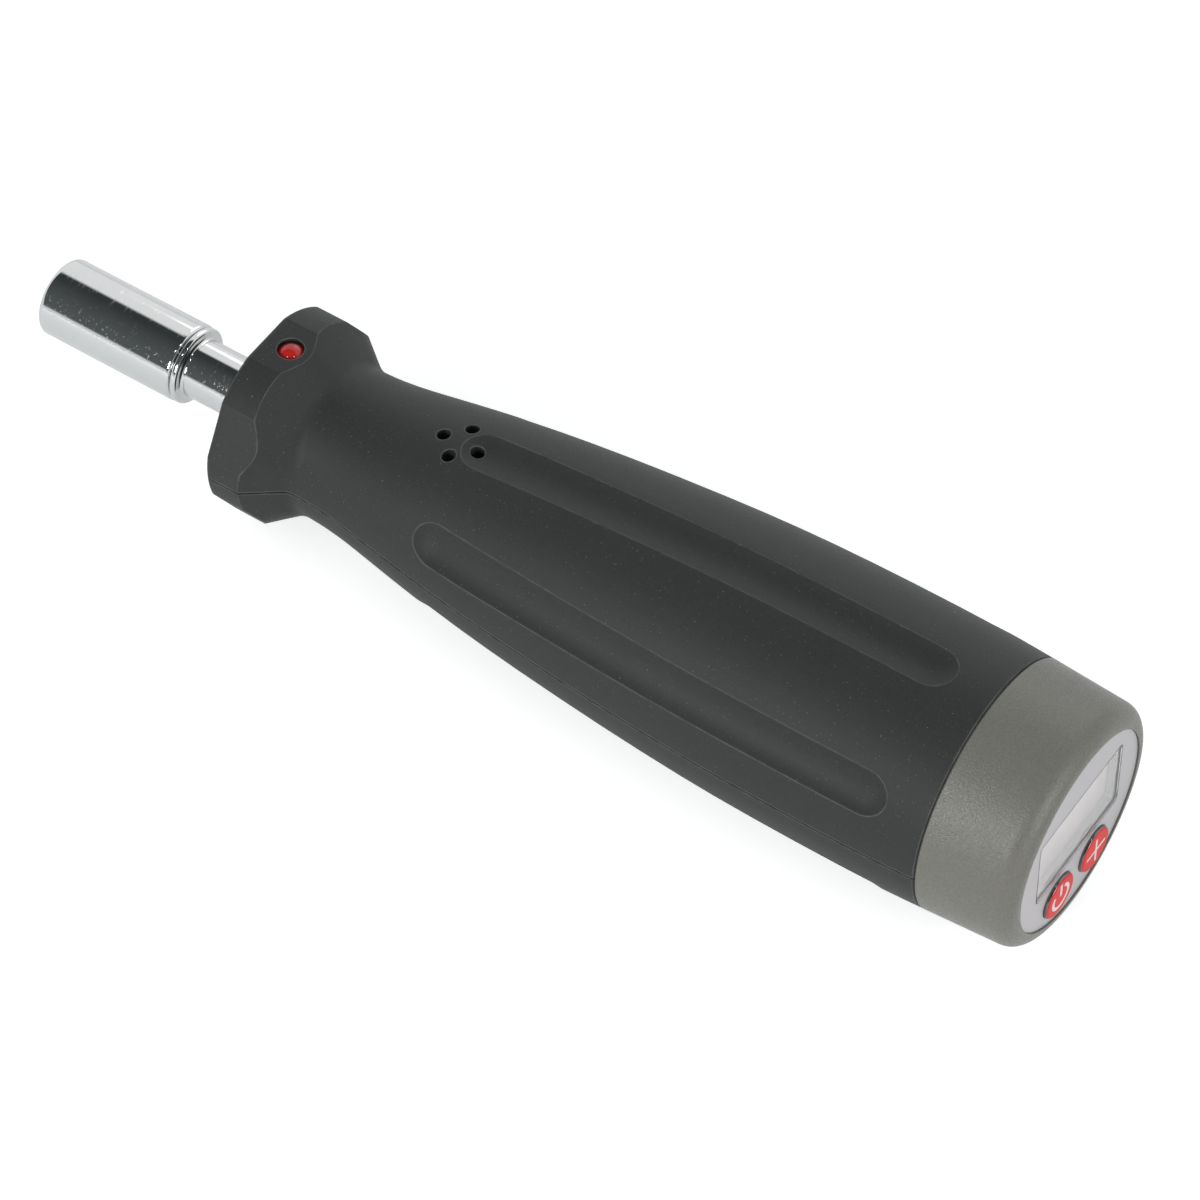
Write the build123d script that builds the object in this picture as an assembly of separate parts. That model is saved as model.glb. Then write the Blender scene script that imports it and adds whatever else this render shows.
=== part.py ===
from build123d import *
import math
import os

# Sizes are in millimetres. The tool lies along X, bit end at -X and display at +X.
# While it is built, X = 0 is the joint between handle and end cap, and Z = 0 is the tool's axis.

# Clearances
FIT_GAP = 0.05
LOOSE_GAP = 0.25
PART_GAP = 0.1

# Bit holder
SLEEVE_DIAMETER = 12.7
SLEEVE_LENGTH = 24.0
SLEEVE_EDGE = 1.1
BEAD_DIAMETER = 11.4
BEAD_LENGTH = 1.3
NECK_DIAMETER = 9.5
NECK_EXPOSED = 13.5
HEX_ACROSS_FLATS = 6.4
HEX_DEPTH = 13.0
HEX_LEAD_IN = 0.5
MAGNET_DIAMETER = 5.6
MAGNET_LENGTH = 3.0
SPIGOT_DIAMETER = 6.0
SPIGOT_LENGTH = 9.0
CROSS_PIN_DIAMETER = 2.0

# Nose of the handle
NOSE_RADIUS = 16.7
NOSE_FLAT_RADIUS = 16.05
NOSE_COLLAR_LENGTH = 6.1
NOSE_SLOPE_ANGLE = 36.5
NOSE_SLOPE_LOBE = 16.0
NOSE_EDGE = 1.1
NOSE_NECK_FILLET = 3.2
NOSE_RIDGE_FILLET = 7.0
NOSE_WALL = 1.6
SIDES = 6

# Grip of the handle: outer radius at distances ahead of the end cap joint
HANDLE_LENGTH = 126.5
NECK_STATION = 113.0
NECK_RADIUS = 12.25
FORE_STATION = 100.0
FORE_RADIUS = 13.75
FINGER_STATION = 84.0
FINGER_RADIUS = 16.3
MIDDLE_STATION = 62.0
MIDDLE_RADIUS = 18.65
PALM_STATION = 40.0
PALM_RADIUS = 20.15
SWELL_STATION = 18.0
SWELL_RADIUS = 20.5
JOINT_RADIUS = 20.0
JOINT_CHAMFER = 0.25
SHELL_WALL = 2.4
PARTING_GROOVE_WIDTH = 0.4
PARTING_GROOVE_DEPTH = 0.6

# Grip flutes
FLUTE_FRONT = 91.0
FLUTE_REAR = 6.4
FLUTE_WIDTH = 7.3
FLUTE_DEPTH = 1.4
FLUTE_SPANS = 5

# Sound holes and buzzer
BUZZER_STATION = 91.0
SOUND_HOLE_DIAMETER = 2.2
SOUND_HOLE_REACH = 3.0
BUZZER_DIAMETER = 12.0
BUZZER_HEIGHT = 3.2
BUZZER_BASE = 7.4
BUZZER_POCKET_WALL = 0.9

# Indicator lamp
LED_STATION = 121.7
LED_DIAMETER = 3.9
LED_HOLE_DIAMETER = 4.15
LED_BASE = 10.8
LED_FLANGE_DIAMETER = 4.8
LED_FLANGE_HEIGHT = 1.0
LED_DOME_HEIGHT = 0.8
LED_PROUD = 0.1
LED_CHANNEL_WIDTH = 3.0
LED_CHANNEL_FLOOR = 9.2

# Front bush and shaft clip
BUSH_DIAMETER = 15.0
BUSH_LENGTH = 7.0
BUSH_FLANGE_DIAMETER = 17.4
BUSH_FLANGE_LENGTH = 2.0
BUSH_FLANGE_SETBACK = 2.6
CLIP_DIAMETER = 13.6
CLIP_THICKNESS = 0.8
CLIP_GROOVE_DEPTH = 0.5
NOSE_PASSAGE_DIAMETER = 18.0

# Torque sensor
SHOULDER_LENGTH = 2.0
GAUGE_SQUARE = 5.4
GAUGE_LENGTH = 18.4
SENSOR_FLANGE_DIAMETER = 14.2
SENSOR_FLANGE_LENGTH = 3.0
SENSOR_SCREW_CIRCLE = 10.6
SENSOR_SCREW_COUNT = 3
FOIL_LENGTH = 6.0
FOIL_WIDTH = 4.0
FOIL_THICKNESS = 0.2

# Anchor block
ANCHOR_DIAMETER = 27.0
ANCHOR_LENGTH = 7.8
ANCHOR_KEY_WIDTH = 5.0
ANCHOR_RIB_THICKNESS = 1.5
ANCHOR_RIB_BORE = 22.0
ANCHOR_NOTCH_INSIDE = 6.3
ANCHOR_NOTCH_HEIGHT = 5.2

# Small screws
M2_DIAMETER = 2.0
M2_HEAD_DIAMETER = 3.4
M2_HEAD_HEIGHT = 1.2
SHELL_SCREW_DIAMETER = 2.6
SHELL_SCREW_HEAD_DIAMETER = 4.6
SHELL_SCREW_HEAD_HEIGHT = 1.8
SHELL_SCREW_LENGTH = 10.0
SHELL_SCREW_HEAD_LEVEL = 6.5
SHELL_BOSS_DIAMETER = 5.6
SHELL_BOSS_HEIGHT = 6.5
SCREW_DRIVE_WIDTH = 0.7
SCREW_DRIVE_DEPTH = 0.9
SHELL_SCREW_STATIONS = ((104.0, 7.6), (73.0, 11.2), (11.8, 12.4))

# Batteries and tray
CELL_DIAMETER = 10.5
CELL_LENGTH = 44.5
CELL_NUB_DIAMETER = 5.0
CELL_NUB_LENGTH = 1.0
CELL_SPACING = 10.9
TRAY_WALL = 1.2
TRAY_SIDE_DEPTH = 8.0
TRAY_REAR_STATION = 19.5
TRAY_LUG_WIDTH = 5.0
TRAY_LUG_REACH = 15.0
CONTACT_THICKNESS = 0.4
CONTACT_WIDTH = 8.0
CONTACT_TAB_WIDTH = 2.0
BATTERY_SPRING_LENGTH = 3.7
BATTERY_SPRING_RADIUS = 3.0
BATTERY_SPRING_WIRE = 0.6
BATTERY_SPRING_TURNS = 3.0
SHELL_SEAT_WIDTH = 1.8

# Battery door
DOOR_FRONT = 66.5
DOOR_REAR = 17.5
DOOR_HALF_WIDTH = 11.2
DOOR_RIB_THICKNESS = 1.4
DOOR_RIB_HALF_WIDTH = 9.6
DOOR_RIB_COUNT = 3
DOOR_TONGUE_WIDTH = 5.0
DOOR_TONGUE_SPREAD = 5.5
DOOR_TONGUE_REACH = 1.6
DOOR_TONGUE_THICKNESS = 1.2
DOOR_LATCH_WIDTH = 9.0
DOOR_LATCH_THICKNESS = 1.2
DOOR_LATCH_HEIGHT = 4.0

# Main board
MAIN_BOARD_LENGTH = 50.6
MAIN_BOARD_WIDTH = 24.0
BOARD_THICKNESS = 1.2
BOARD_STANDOFF = 0.9
STANDOFF_DIAMETER = 4.0
MAIN_SCREW_INSET = 10.0
CONNECTOR_OFFSET = 23.0
# Components on it: place along X from the board's middle, place across, length, width, height
CONTROLLER = (0.0, 0.0, 10.0, 10.0, 1.6)
AMPLIFIER = (-12.0, 6.0, 5.0, 4.0, 1.4)
REGULATOR = (10.0, -7.0, 4.0, 3.0, 1.2)
LEAD_CONNECTOR_LENGTH = 4.0
LEAD_CONNECTOR_WIDTH = 7.0
LEAD_CONNECTOR_HEIGHT = 3.4
LEAD_CONNECTOR_SPREAD = 7.0
RIBBON_CONNECTOR_LENGTH = 5.0
RIBBON_CONNECTOR_WIDTH = 10.0
RIBBON_CONNECTOR_HEIGHT = 2.0

# End cap and face
CAP_LENGTH = 15.1
CAP_TAPER = 0.85
CAP_EDGE = 3.0
CAP_REAR_WALL = 2.4
CAP_SPIGOT_LENGTH = 7.0
CAP_SPIGOT_WALL = 1.6
CAP_SPIGOT_STEP = 0.5
CAP_SPIGOT_LAP = 1.5
CAP_GROOVE_SETBACK = 3.0
CAP_GROOVE_LENGTH = 2.0
CAP_GROOVE_DEPTH = 0.8
FACE_RADIUS = 16.07
FACE_THICKNESS = 0.6
FACE_RECESS = 0.3

# Display window, panel and frame
WINDOW_WIDTH = 22.1
WINDOW_HEIGHT = 13.4
WINDOW_CENTRE = 1.6
WINDOW_CORNER = 0.8
WINDOW_BORDER = 0.5
WINDOW_BASE = 1.0
LCD_WIDTH = 24.0
LCD_HEIGHT = 13.5
LCD_THICKNESS = 1.6
FRAME_WALL = 0.5
ZEBRA_LENGTH = 20.0
ZEBRA_THICKNESS = 1.6
DISPLAY_BOARD_CLEARANCE = 1.7
DISPLAY_BOARD_FRONT = 4.8
DISPLAY_BOARD_THICKNESS = 1.6
DISPLAY_SCREW_PLACES = ((0.0, 12.2), (10.8, -8.0), (-10.8, -8.0))
DISPLAY_BOSS_DIAMETER = 3.6
DISPLAY_CONNECTOR_DEPTH = 2.0
DISPLAY_CONNECTOR_HEIGHT = 4.0
DISPLAY_CONNECTOR_LEVEL = 4.0
DISPLAY_SCREW_LENGTH = 5.2

# Buttons and switches
BUTTON_DIAMETER = 7.4
BUTTON_HALF_SPACING = 4.85
BUTTON_DROP = 9.84
BUTTON_PROUD = 0.65
BUTTON_EDGE = 0.4
BUTTON_TRAVEL = 0.5
BUTTON_FLANGE_DIAMETER = 8.0
BUTTON_FLANGE_THICKNESS = 0.8
SWITCH_SQUARE = 6.0
SWITCH_HEIGHT = 3.2
PLUNGER_DIAMETER = 3.2
PLUNGER_PROUD = 0.75
PLUNGER_ROOM = 0.7

# Leads and ribbon: each route is chosen by hand round the parts that it passes
LEAD_DIAMETER = 1.4
LED_LEAD_ROUTE = ((-113.0, 0.6, 7.4), (-100.5, 2.2, 6.0), (-92.0, 7.0, 4.6), (-84.0, 7.3, 4.4))
LED_LEAD_BENDS = (2.5, 3.5, 3.5, 3.5, 3.5)
LED_LEAD_END = (7.2, 3.8)
SENSOR_LEAD_ROUTE = ((-87.5, -7.4, 3.9), (-80.0, -7.3, 4.4))
SENSOR_LEAD_BENDS = (3.0, 3.0, 3.5)
SENSOR_LEAD_LIFT = 0.5
SENSOR_LEAD_END = (-7.2, 3.8)
BUZZER_LEAD_ROUTE = ((-94.0, 4.0, 7.05), (-88.0, 6.6, 6.55), (-80.0, 7.3, 6.6))
BUZZER_LEAD_BENDS = (3.0, 3.0)
BUZZER_LEAD_END = (7.0, 5.2)
RIBBON_WIDTH = 8.0
RIBBON_THICKNESS = 0.3
RIBBON_LEVEL = 3.2
RIBBON_LEAD_OUT = 6.0
RIBBON_ROUTE = ((-10.5, 0, 5.0), (-4.0, 0, 5.4))
RIBBON_BEND = 2.5

# Stations worked out from the sizes above
NOSE_FRONT_X = -HANDLE_LENGTH
COLLAR_REAR_X = NOSE_FRONT_X + NOSE_COLLAR_LENGTH
NECK_FRONT_X = NOSE_FRONT_X - NECK_EXPOSED
SLEEVE_REAR_X = NECK_FRONT_X - BEAD_LENGTH
SLEEVE_FRONT_X = SLEEVE_REAR_X - SLEEVE_LENGTH
BUSH_FRONT_X = NOSE_FRONT_X + NOSE_WALL
BUSH_REAR_X = BUSH_FRONT_X + BUSH_LENGTH
CLIP_FRONT_X = BUSH_REAR_X + PART_GAP
CLIP_REAR_X = CLIP_FRONT_X + CLIP_THICKNESS
LED_CHANNEL_REAR_X = CLIP_REAR_X + LED_CHANNEL_WIDTH
SPIGOT_FRONT_X = CLIP_REAR_X + CLIP_THICKNESS
HOLDER_REAR_X = SPIGOT_FRONT_X + SPIGOT_LENGTH
CROSS_PIN_X = (SPIGOT_FRONT_X + HOLDER_REAR_X) / 2
GAUGE_FRONT_X = HOLDER_REAR_X + SHOULDER_LENGTH
GAUGE_REAR_X = GAUGE_FRONT_X + GAUGE_LENGTH
ANCHOR_FRONT_X = GAUGE_REAR_X + SENSOR_FLANGE_LENGTH
ANCHOR_REAR_X = ANCHOR_FRONT_X + ANCHOR_LENGTH
CELL_LEVEL = -(TRAY_WALL + LOOSE_GAP + CELL_DIAMETER / 2)
BAY_REAR_X = -TRAY_REAR_STATION
BAY_LENGTH = CELL_LENGTH + BATTERY_SPRING_LENGTH + 2 * CONTACT_THICKNESS
BAY_FRONT_X = BAY_REAR_X - BAY_LENGTH
BAY_HALF_WIDTH = CELL_SPACING / 2 + CELL_DIAMETER / 2 + LOOSE_GAP
CAP_REAR_RADIUS = JOINT_RADIUS - CAP_TAPER
FACE_REAR_X = CAP_LENGTH - FACE_RECESS
FACE_FRONT_X = FACE_REAR_X - FACE_THICKNESS
CAP_WALL_FRONT_X = FACE_FRONT_X - CAP_REAR_WALL
DISPLAY_BOARD_REAR_X = DISPLAY_BOARD_FRONT + DISPLAY_BOARD_THICKNESS
BUTTON_TOP_X = FACE_REAR_X + BUTTON_PROUD
MAIN_BOARD_REAR_X = BAY_REAR_X + TRAY_WALL
MAIN_BOARD_FRONT_X = MAIN_BOARD_REAR_X - MAIN_BOARD_LENGTH
MAIN_BOARD_TOP = BOARD_STANDOFF + BOARD_THICKNESS
LID = 40.0
BELOW = -LID


# Basic forms
def rod(radius, x0, x1, y=0.0, z=0.0):
    length = x1 - x0
    bar = Cylinder(radius, length, align=(Align.CENTER, Align.CENTER, Align.MIN))
    return Pos(x0, y, z) * Rot(0, 90, 0) * bar


def post(radius, z0, z1, x, y):
    bar = Cylinder(radius, z1 - z0, align=(Align.CENTER, Align.CENTER, Align.MIN))
    return Pos(x, y, z0) * bar


def block(x0, x1, y0, y1, z0, z1):
    box = Box(x1 - x0, y1 - y0, z1 - z0, align=(Align.MIN, Align.MIN, Align.MIN))
    return Pos(x0, y0, z0) * box


def spun(*points):
    return revolve(make_face(Polyline(*points, close=True)), Axis.X)


def tube(points, radii, diameter):
    path = FilletPolyline(*points, radius=radii)
    return sweep((path ^ 0) * Circle(diameter / 2), path)


def group(*solids):
    return Compound(children=[piece for solid in solids for piece in solid.solids()])


def screw(diameter, length, head_diameter, head_height):
    # The head's under-side is at Z = 0 and the shank points up.
    shank = Cylinder(diameter / 2, length, align=(Align.CENTER, Align.CENTER, Align.MIN))
    head = Cylinder(head_diameter / 2, head_height, align=(Align.CENTER, Align.CENTER, Align.MAX))
    arm = head_diameter - 2 * SCREW_DRIVE_WIDTH
    lift = Pos(0, 0, -head_height)
    slot = (Align.CENTER, Align.CENTER, Align.MIN)
    drive = lift * Box(arm, SCREW_DRIVE_WIDTH, SCREW_DRIVE_DEPTH, align=slot)
    drive += lift * Box(SCREW_DRIVE_WIDTH, arm, SCREW_DRIVE_DEPTH, align=slot)
    return shank + head - drive


# Outer form of the handle
GRIP_LINE = Spline(
    (-NECK_STATION, NECK_RADIUS),
    (-FORE_STATION, FORE_RADIUS),
    (-FINGER_STATION, FINGER_RADIUS),
    (-MIDDLE_STATION, MIDDLE_RADIUS),
    (-PALM_STATION, PALM_RADIUS),
    (-SWELL_STATION, SWELL_RADIUS),
    (0, JOINT_RADIUS),
    tangents=((1, 0), (SWELL_STATION, 2 * (JOINT_RADIUS - SWELL_RADIUS))),
)


def grip_radius(x):
    low, high = 0.0, 1.0
    for _ in range(30):
        middle = (low + high) / 2
        if (GRIP_LINE @ middle).X < x:
            low = middle
        else:
            high = middle
    return (GRIP_LINE @ low).Y


def spigot_radius():
    # The end cap's spigot fits the narrower end of the stretch of shell that it fills.
    narrow = min(JOINT_RADIUS, grip_radius(-CAP_SPIGOT_LENGTH))
    return narrow - SHELL_WALL - PART_GAP


def cap_bore_radius():
    return spigot_radius() - CAP_SPIGOT_STEP


def grip(inset):
    # The grip's surface of revolution, moved in towards the axis by inset.
    line = Pos(0, -inset, 0) * GRIP_LINE
    front = line @ 0
    rear = line @ 1
    closing = Polyline(rear, (rear.X, 0), (front.X, 0), front)
    body = revolve(make_face(Wire([line, *closing.edges()])), Axis.X)
    return body + rod(front.Y, COLLAR_REAR_X, -NECK_STATION)


def nose(inset):
    # A round collar with six flats, and a rear slope hollowed between six soft ridges.
    radius = NOSE_RADIUS - inset
    slope = math.tan(math.radians(NOSE_SLOPE_ANGLE))
    slope_end_x = -NECK_STATION + NOSE_NECK_FILLET
    end_radius = radius - slope * (slope_end_x - COLLAR_REAR_X)
    body = rod(radius, NOSE_FRONT_X, slope_end_x)
    lobe = NOSE_SLOPE_LOBE
    cone = spun(
        (NOSE_FRONT_X, 0),
        (NOSE_FRONT_X, radius + lobe),
        (COLLAR_REAR_X, radius + lobe),
        (slope_end_x, end_radius + lobe),
        (slope_end_x, 0),
    )
    prism = extrude(
        Plane.YZ.offset(NOSE_FRONT_X)
        * RegularPolygon(NOSE_FLAT_RADIUS - inset, SIDES, major_radius=False),
        slope_end_x - NOSE_FRONT_X,
    )
    lobes = Rot(180 / SIDES, 0, 0) * Pos(0, 0, -lobe) * cone
    for index in range(1, SIDES):
        turn = Rot((index + 0.5) * 360 / SIDES, 0, 0)
        lobes &= turn * Pos(0, 0, -lobe) * cone
    ridges = lobes.edges().filter_by(lambda edge: abs((edge @ 0).X - (edge @ 1).X) > FIT_GAP)
    return body & prism & fillet(ridges, NOSE_RIDGE_FILLET)


def neck_edges(body):
    # The edges where the nose's rear slope runs into the neck of the grip
    edges = []
    for edge in body.edges():
        middle = edge @ 0.5
        near = abs(middle.X + NECK_STATION) < NECK_RADIUS - NOSE_PASSAGE_DIAMETER / 2
        if near and math.hypot(middle.Y, middle.Z) < NECK_RADIUS + NOSE_NECK_FILLET / 2:
            edges.append(edge)
    return edges


def flute_cutter():
    half_width = FLUTE_WIDTH / 2
    radius = 1 / (2 * FLUTE_DEPTH / half_width**2 - 1 / SWELL_RADIUS)
    end_reach = math.sqrt(2 * radius * FLUTE_DEPTH - FLUTE_DEPTH**2)
    front_x = -FLUTE_FRONT + end_reach
    rear_x = -FLUTE_REAR - end_reach
    centres = []
    for index in range(FLUTE_SPANS + 1):
        x = front_x + (rear_x - front_x) * index / FLUTE_SPANS
        centres.append((x, 0, grip_radius(x) + radius - FLUTE_DEPTH))
    path = Spline(*centres)
    cutter = sweep((path ^ 0) * Circle(radius), path)
    return [cutter, Pos(path @ 0) * Sphere(radius), Pos(path @ 1) * Sphere(radius)]


def handle_form():
    head = nose(0)
    front_edges = head.edges().filter_by(lambda edge: edge.center().X < NOSE_FRONT_X + FIT_GAP)
    head = fillet(front_edges, NOSE_EDGE)
    body = grip(0) + head
    body = fillet(neck_edges(body), NOSE_NECK_FILLET)
    body -= block(-JOINT_CHAMFER, 0, -LID, LID, -LID, LID) - spun(
        (-JOINT_CHAMFER, 0),
        (-JOINT_CHAMFER, grip_radius(-JOINT_CHAMFER)),
        (0, JOINT_RADIUS - JOINT_CHAMFER),
        (0, 0),
    )
    for index in range(SIDES):
        turn = Rot(index * 360 / SIDES, 0, 0)
        for cutter in flute_cutter():
            body -= turn * cutter
    return body


def handle_cavity():
    # The room inside the shells: grip cavity, passage in the nose and bush seat.
    line = Pos(0, -SHELL_WALL, 0) * GRIP_LINE
    front = line @ 0
    rear = line @ 1
    closing = Polyline(rear, (rear.X, 0), (front.X, 0), front)
    room = revolve(make_face(Wire([line, *closing.edges()])), Axis.X)
    room += rod(NOSE_PASSAGE_DIAMETER / 2, BUSH_REAR_X, -NECK_STATION)
    room += rod(BUSH_DIAMETER / 2 + FIT_GAP, BUSH_FRONT_X, BUSH_REAR_X)
    flange_x = BUSH_FRONT_X + BUSH_FLANGE_SETBACK
    room += rod(BUSH_FLANGE_DIAMETER / 2 + FIT_GAP, flange_x, flange_x + BUSH_FLANGE_LENGTH)
    room += rod(NECK_DIAMETER / 2 + LOOSE_GAP, NOSE_FRONT_X, BUSH_FRONT_X)
    return room


# Features inside the shells
def anchor_ribs():
    bore = ANCHOR_RIB_BORE / 2
    ribs = []
    for x0 in (ANCHOR_FRONT_X - PART_GAP - ANCHOR_RIB_THICKNESS, ANCHOR_REAR_X + PART_GAP):
        x1 = x0 + ANCHOR_RIB_THICKNESS
        ribs.append(rod(LID, x0, x1) - rod(bore, x0, x1))
    # Stops beside the block's keys take up the torque.
    key = ANCHOR_KEY_WIDTH / 2 + FIT_GAP
    x0 = ANCHOR_FRONT_X - PART_GAP
    x1 = ANCHOR_REAR_X + PART_GAP
    seat = ANCHOR_DIAMETER / 2 + FIT_GAP
    for side in (-1, 1):
        y0, y1 = sorted((side * (seat - 1), side * LID))
        for z0, z1 in ((key, key + ANCHOR_RIB_THICKNESS), (-key - ANCHOR_RIB_THICKNESS, -key)):
            ribs.append(block(x0, x1, y0, y1, z0, z1) - rod(seat, x0, x1))
    return ribs


def cap_bead():
    # The ring inside the shells' rear end that holds the end cap's spigot.
    x0 = -CAP_GROOVE_SETBACK - CAP_GROOVE_LENGTH + PART_GAP
    x1 = -CAP_GROOVE_SETBACK - PART_GAP
    bore = spigot_radius() - CAP_GROOVE_DEPTH + PART_GAP
    return rod(LID, x0, x1) - rod(bore, x0, x1)


def screw_places():
    for station, half_spread in SHELL_SCREW_STATIONS:
        for side in (-1, 1):
            yield -station, side * half_spread


def tray_seat_stations():
    inset = TRAY_LUG_WIDTH
    return (BAY_FRONT_X + inset, BAY_REAR_X - inset)


def upper_features():
    parts = anchor_ribs() + [cap_bead()]
    for x, y in screw_places():
        parts.append(post(SHELL_BOSS_DIAMETER / 2, 0, LID, x, y))
    pocket = BUZZER_DIAMETER / 2 + PART_GAP
    parts.append(
        post(pocket + BUZZER_POCKET_WALL, BUZZER_BASE, LID, -BUZZER_STATION, 0)
        - post(pocket, BUZZER_BASE, LID, -BUZZER_STATION, 0)
    )
    half = SHELL_SEAT_WIDTH / 2
    for x in tray_seat_stations():
        for side in (-1, 1):
            y0, y1 = sorted((side * (BAY_HALF_WIDTH + TRAY_WALL + LOOSE_GAP), side * LID))
            parts.append(block(x - half, x + half, y0, y1, FIT_GAP, LID))
    return parts


def lower_features():
    parts = anchor_ribs() + [cap_bead()]
    for x, y in screw_places():
        parts.append(post(SHELL_BOSS_DIAMETER / 2, -LID, 0, x, y))
    half = SHELL_SEAT_WIDTH / 2
    for x in tray_seat_stations():
        for side in (-1, 1):
            y0, y1 = sorted((side * (BAY_HALF_WIDTH + TRAY_WALL + LOOSE_GAP), side * LID))
            parts.append(block(x - half, x + half, y0, y1, -LID, -TRAY_WALL))
    return parts


def parting_groove():
    half = PARTING_GROOVE_WIDTH / 2
    band = block(NOSE_FRONT_X, 0, -LID, LID, -half, half)
    return band - grip(PARTING_GROOVE_DEPTH) - nose(PARTING_GROOVE_DEPTH)


def fill_room(shell, features, room, half_space):
    for feature in features:
        shell += feature & room & half_space
    return shell


def door_box(gap):
    half = DOOR_HALF_WIDTH - gap
    return block(-DOOR_FRONT + gap, -DOOR_REAR - gap, -half, half, BELOW, -NOSE_PASSAGE_DIAMETER / 2)


def upper_shell(skin, room):
    above = block(NOSE_FRONT_X, 0, -LID, LID, 0, LID)
    shell = fill_room(skin & above, upper_features(), room, above)
    for x, y in screw_places():
        shell -= post(SHELL_SCREW_DIAMETER / 2 + FIT_GAP, 0, SHELL_BOSS_HEIGHT, x, y)
    for along, across in ((1, 0), (-1, 0), (0, 1), (0, -1)):
        x = -BUZZER_STATION + along * SOUND_HOLE_REACH
        y = across * SOUND_HOLE_REACH
        shell -= post(SOUND_HOLE_DIAMETER / 2, BUZZER_BASE, LID, x, y)
    # Seat of the indicator lamp, with a channel for its leads
    x = -LED_STATION
    shell -= post(LED_HOLE_DIAMETER / 2, LED_BASE, LID, x, 0)
    flange = LED_FLANGE_DIAMETER / 2 + PART_GAP
    shell -= post(flange, LED_CHANNEL_FLOOR, LED_BASE + LED_FLANGE_HEIGHT + FIT_GAP, x, 0)
    half = LED_CHANNEL_WIDTH / 2
    shell -= block(x, BUSH_REAR_X, -half, half, LED_CHANNEL_FLOOR, LED_BASE)
    shell -= block(BUSH_REAR_X, LED_CHANNEL_REAR_X, -half, half, 0, LED_BASE)
    return shell


def lower_shell(skin, room):
    below = block(NOSE_FRONT_X, 0, -LID, LID, -LID, 0)
    shell = fill_room(skin & below, lower_features(), room, below)
    for x, y in screw_places():
        shell -= post(SHELL_SCREW_DIAMETER / 2 + LOOSE_GAP, -SHELL_SCREW_HEAD_LEVEL, 0, x, y)
        head = SHELL_SCREW_HEAD_DIAMETER / 2 + LOOSE_GAP
        shell -= post(head, BELOW, -SHELL_SCREW_HEAD_LEVEL, x, y)
    return shell - door_box(0)


# Battery door
def tongue(side):
    # A tab that reaches under the shell's inner face, and its root on the door's inner face.
    tip_x = -DOOR_FRONT - DOOR_TONGUE_REACH
    root_x = -DOOR_FRONT + LOOSE_GAP
    outer = grip_radius(tip_x) - SHELL_WALL - PART_GAP
    inner = outer - DOOR_TONGUE_THICKNESS
    deep = grip_radius(root_x) - SHELL_WALL / 2
    end_x = root_x + 2 * DOOR_TONGUE_THICKNESS
    band = rod(outer, tip_x, root_x) - rod(inner, tip_x, root_x)
    band += rod(deep, root_x, end_x) - rod(inner, root_x, end_x)
    y0 = side * DOOR_TONGUE_SPREAD - DOOR_TONGUE_WIDTH / 2
    return band & block(tip_x, end_x, y0, y0 + DOOR_TONGUE_WIDTH, BELOW, 0)


def door_rib(x, room):
    half = DOOR_RIB_THICKNESS / 2
    top = CELL_LEVEL - CELL_DIAMETER / 4
    rib = block(x - half, x + half, -DOOR_RIB_HALF_WIDTH, DOOR_RIB_HALF_WIDTH, BELOW, top)
    for side in (-1, 1):
        cradle = CELL_DIAMETER / 2 + LOOSE_GAP
        rib -= rod(cradle, x - half, x + half, side * CELL_SPACING / 2, CELL_LEVEL)
    return rib & room


def battery_door(skin, room):
    door = skin & door_box(LOOSE_GAP)
    for index in range(DOOR_RIB_COUNT):
        share = (index + 1) / (DOOR_RIB_COUNT + 1)
        door += door_rib(-DOOR_FRONT + (DOOR_FRONT - DOOR_REAR) * share, room)
    for side in (-1, 1):
        door += tongue(side)
    # Latch finger at the rear edge
    x1 = -DOOR_REAR - LOOSE_GAP
    x0 = x1 - DOOR_LATCH_THICKNESS
    half = DOOR_LATCH_WIDTH / 2
    level = -(grip_radius(x1) - SHELL_WALL)
    root = level - (SHELL_WALL - FLUTE_DEPTH) / 2
    finger = block(x0, x1, -half, half, root, level + DOOR_LATCH_HEIGHT)
    return door + finger


def shell_screws():
    model = screw(
        SHELL_SCREW_DIAMETER, SHELL_SCREW_LENGTH, SHELL_SCREW_HEAD_DIAMETER, SHELL_SCREW_HEAD_HEIGHT
    )
    return group(*[Pos(x, y, -SHELL_SCREW_HEAD_LEVEL) * model for x, y in screw_places()])


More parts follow.
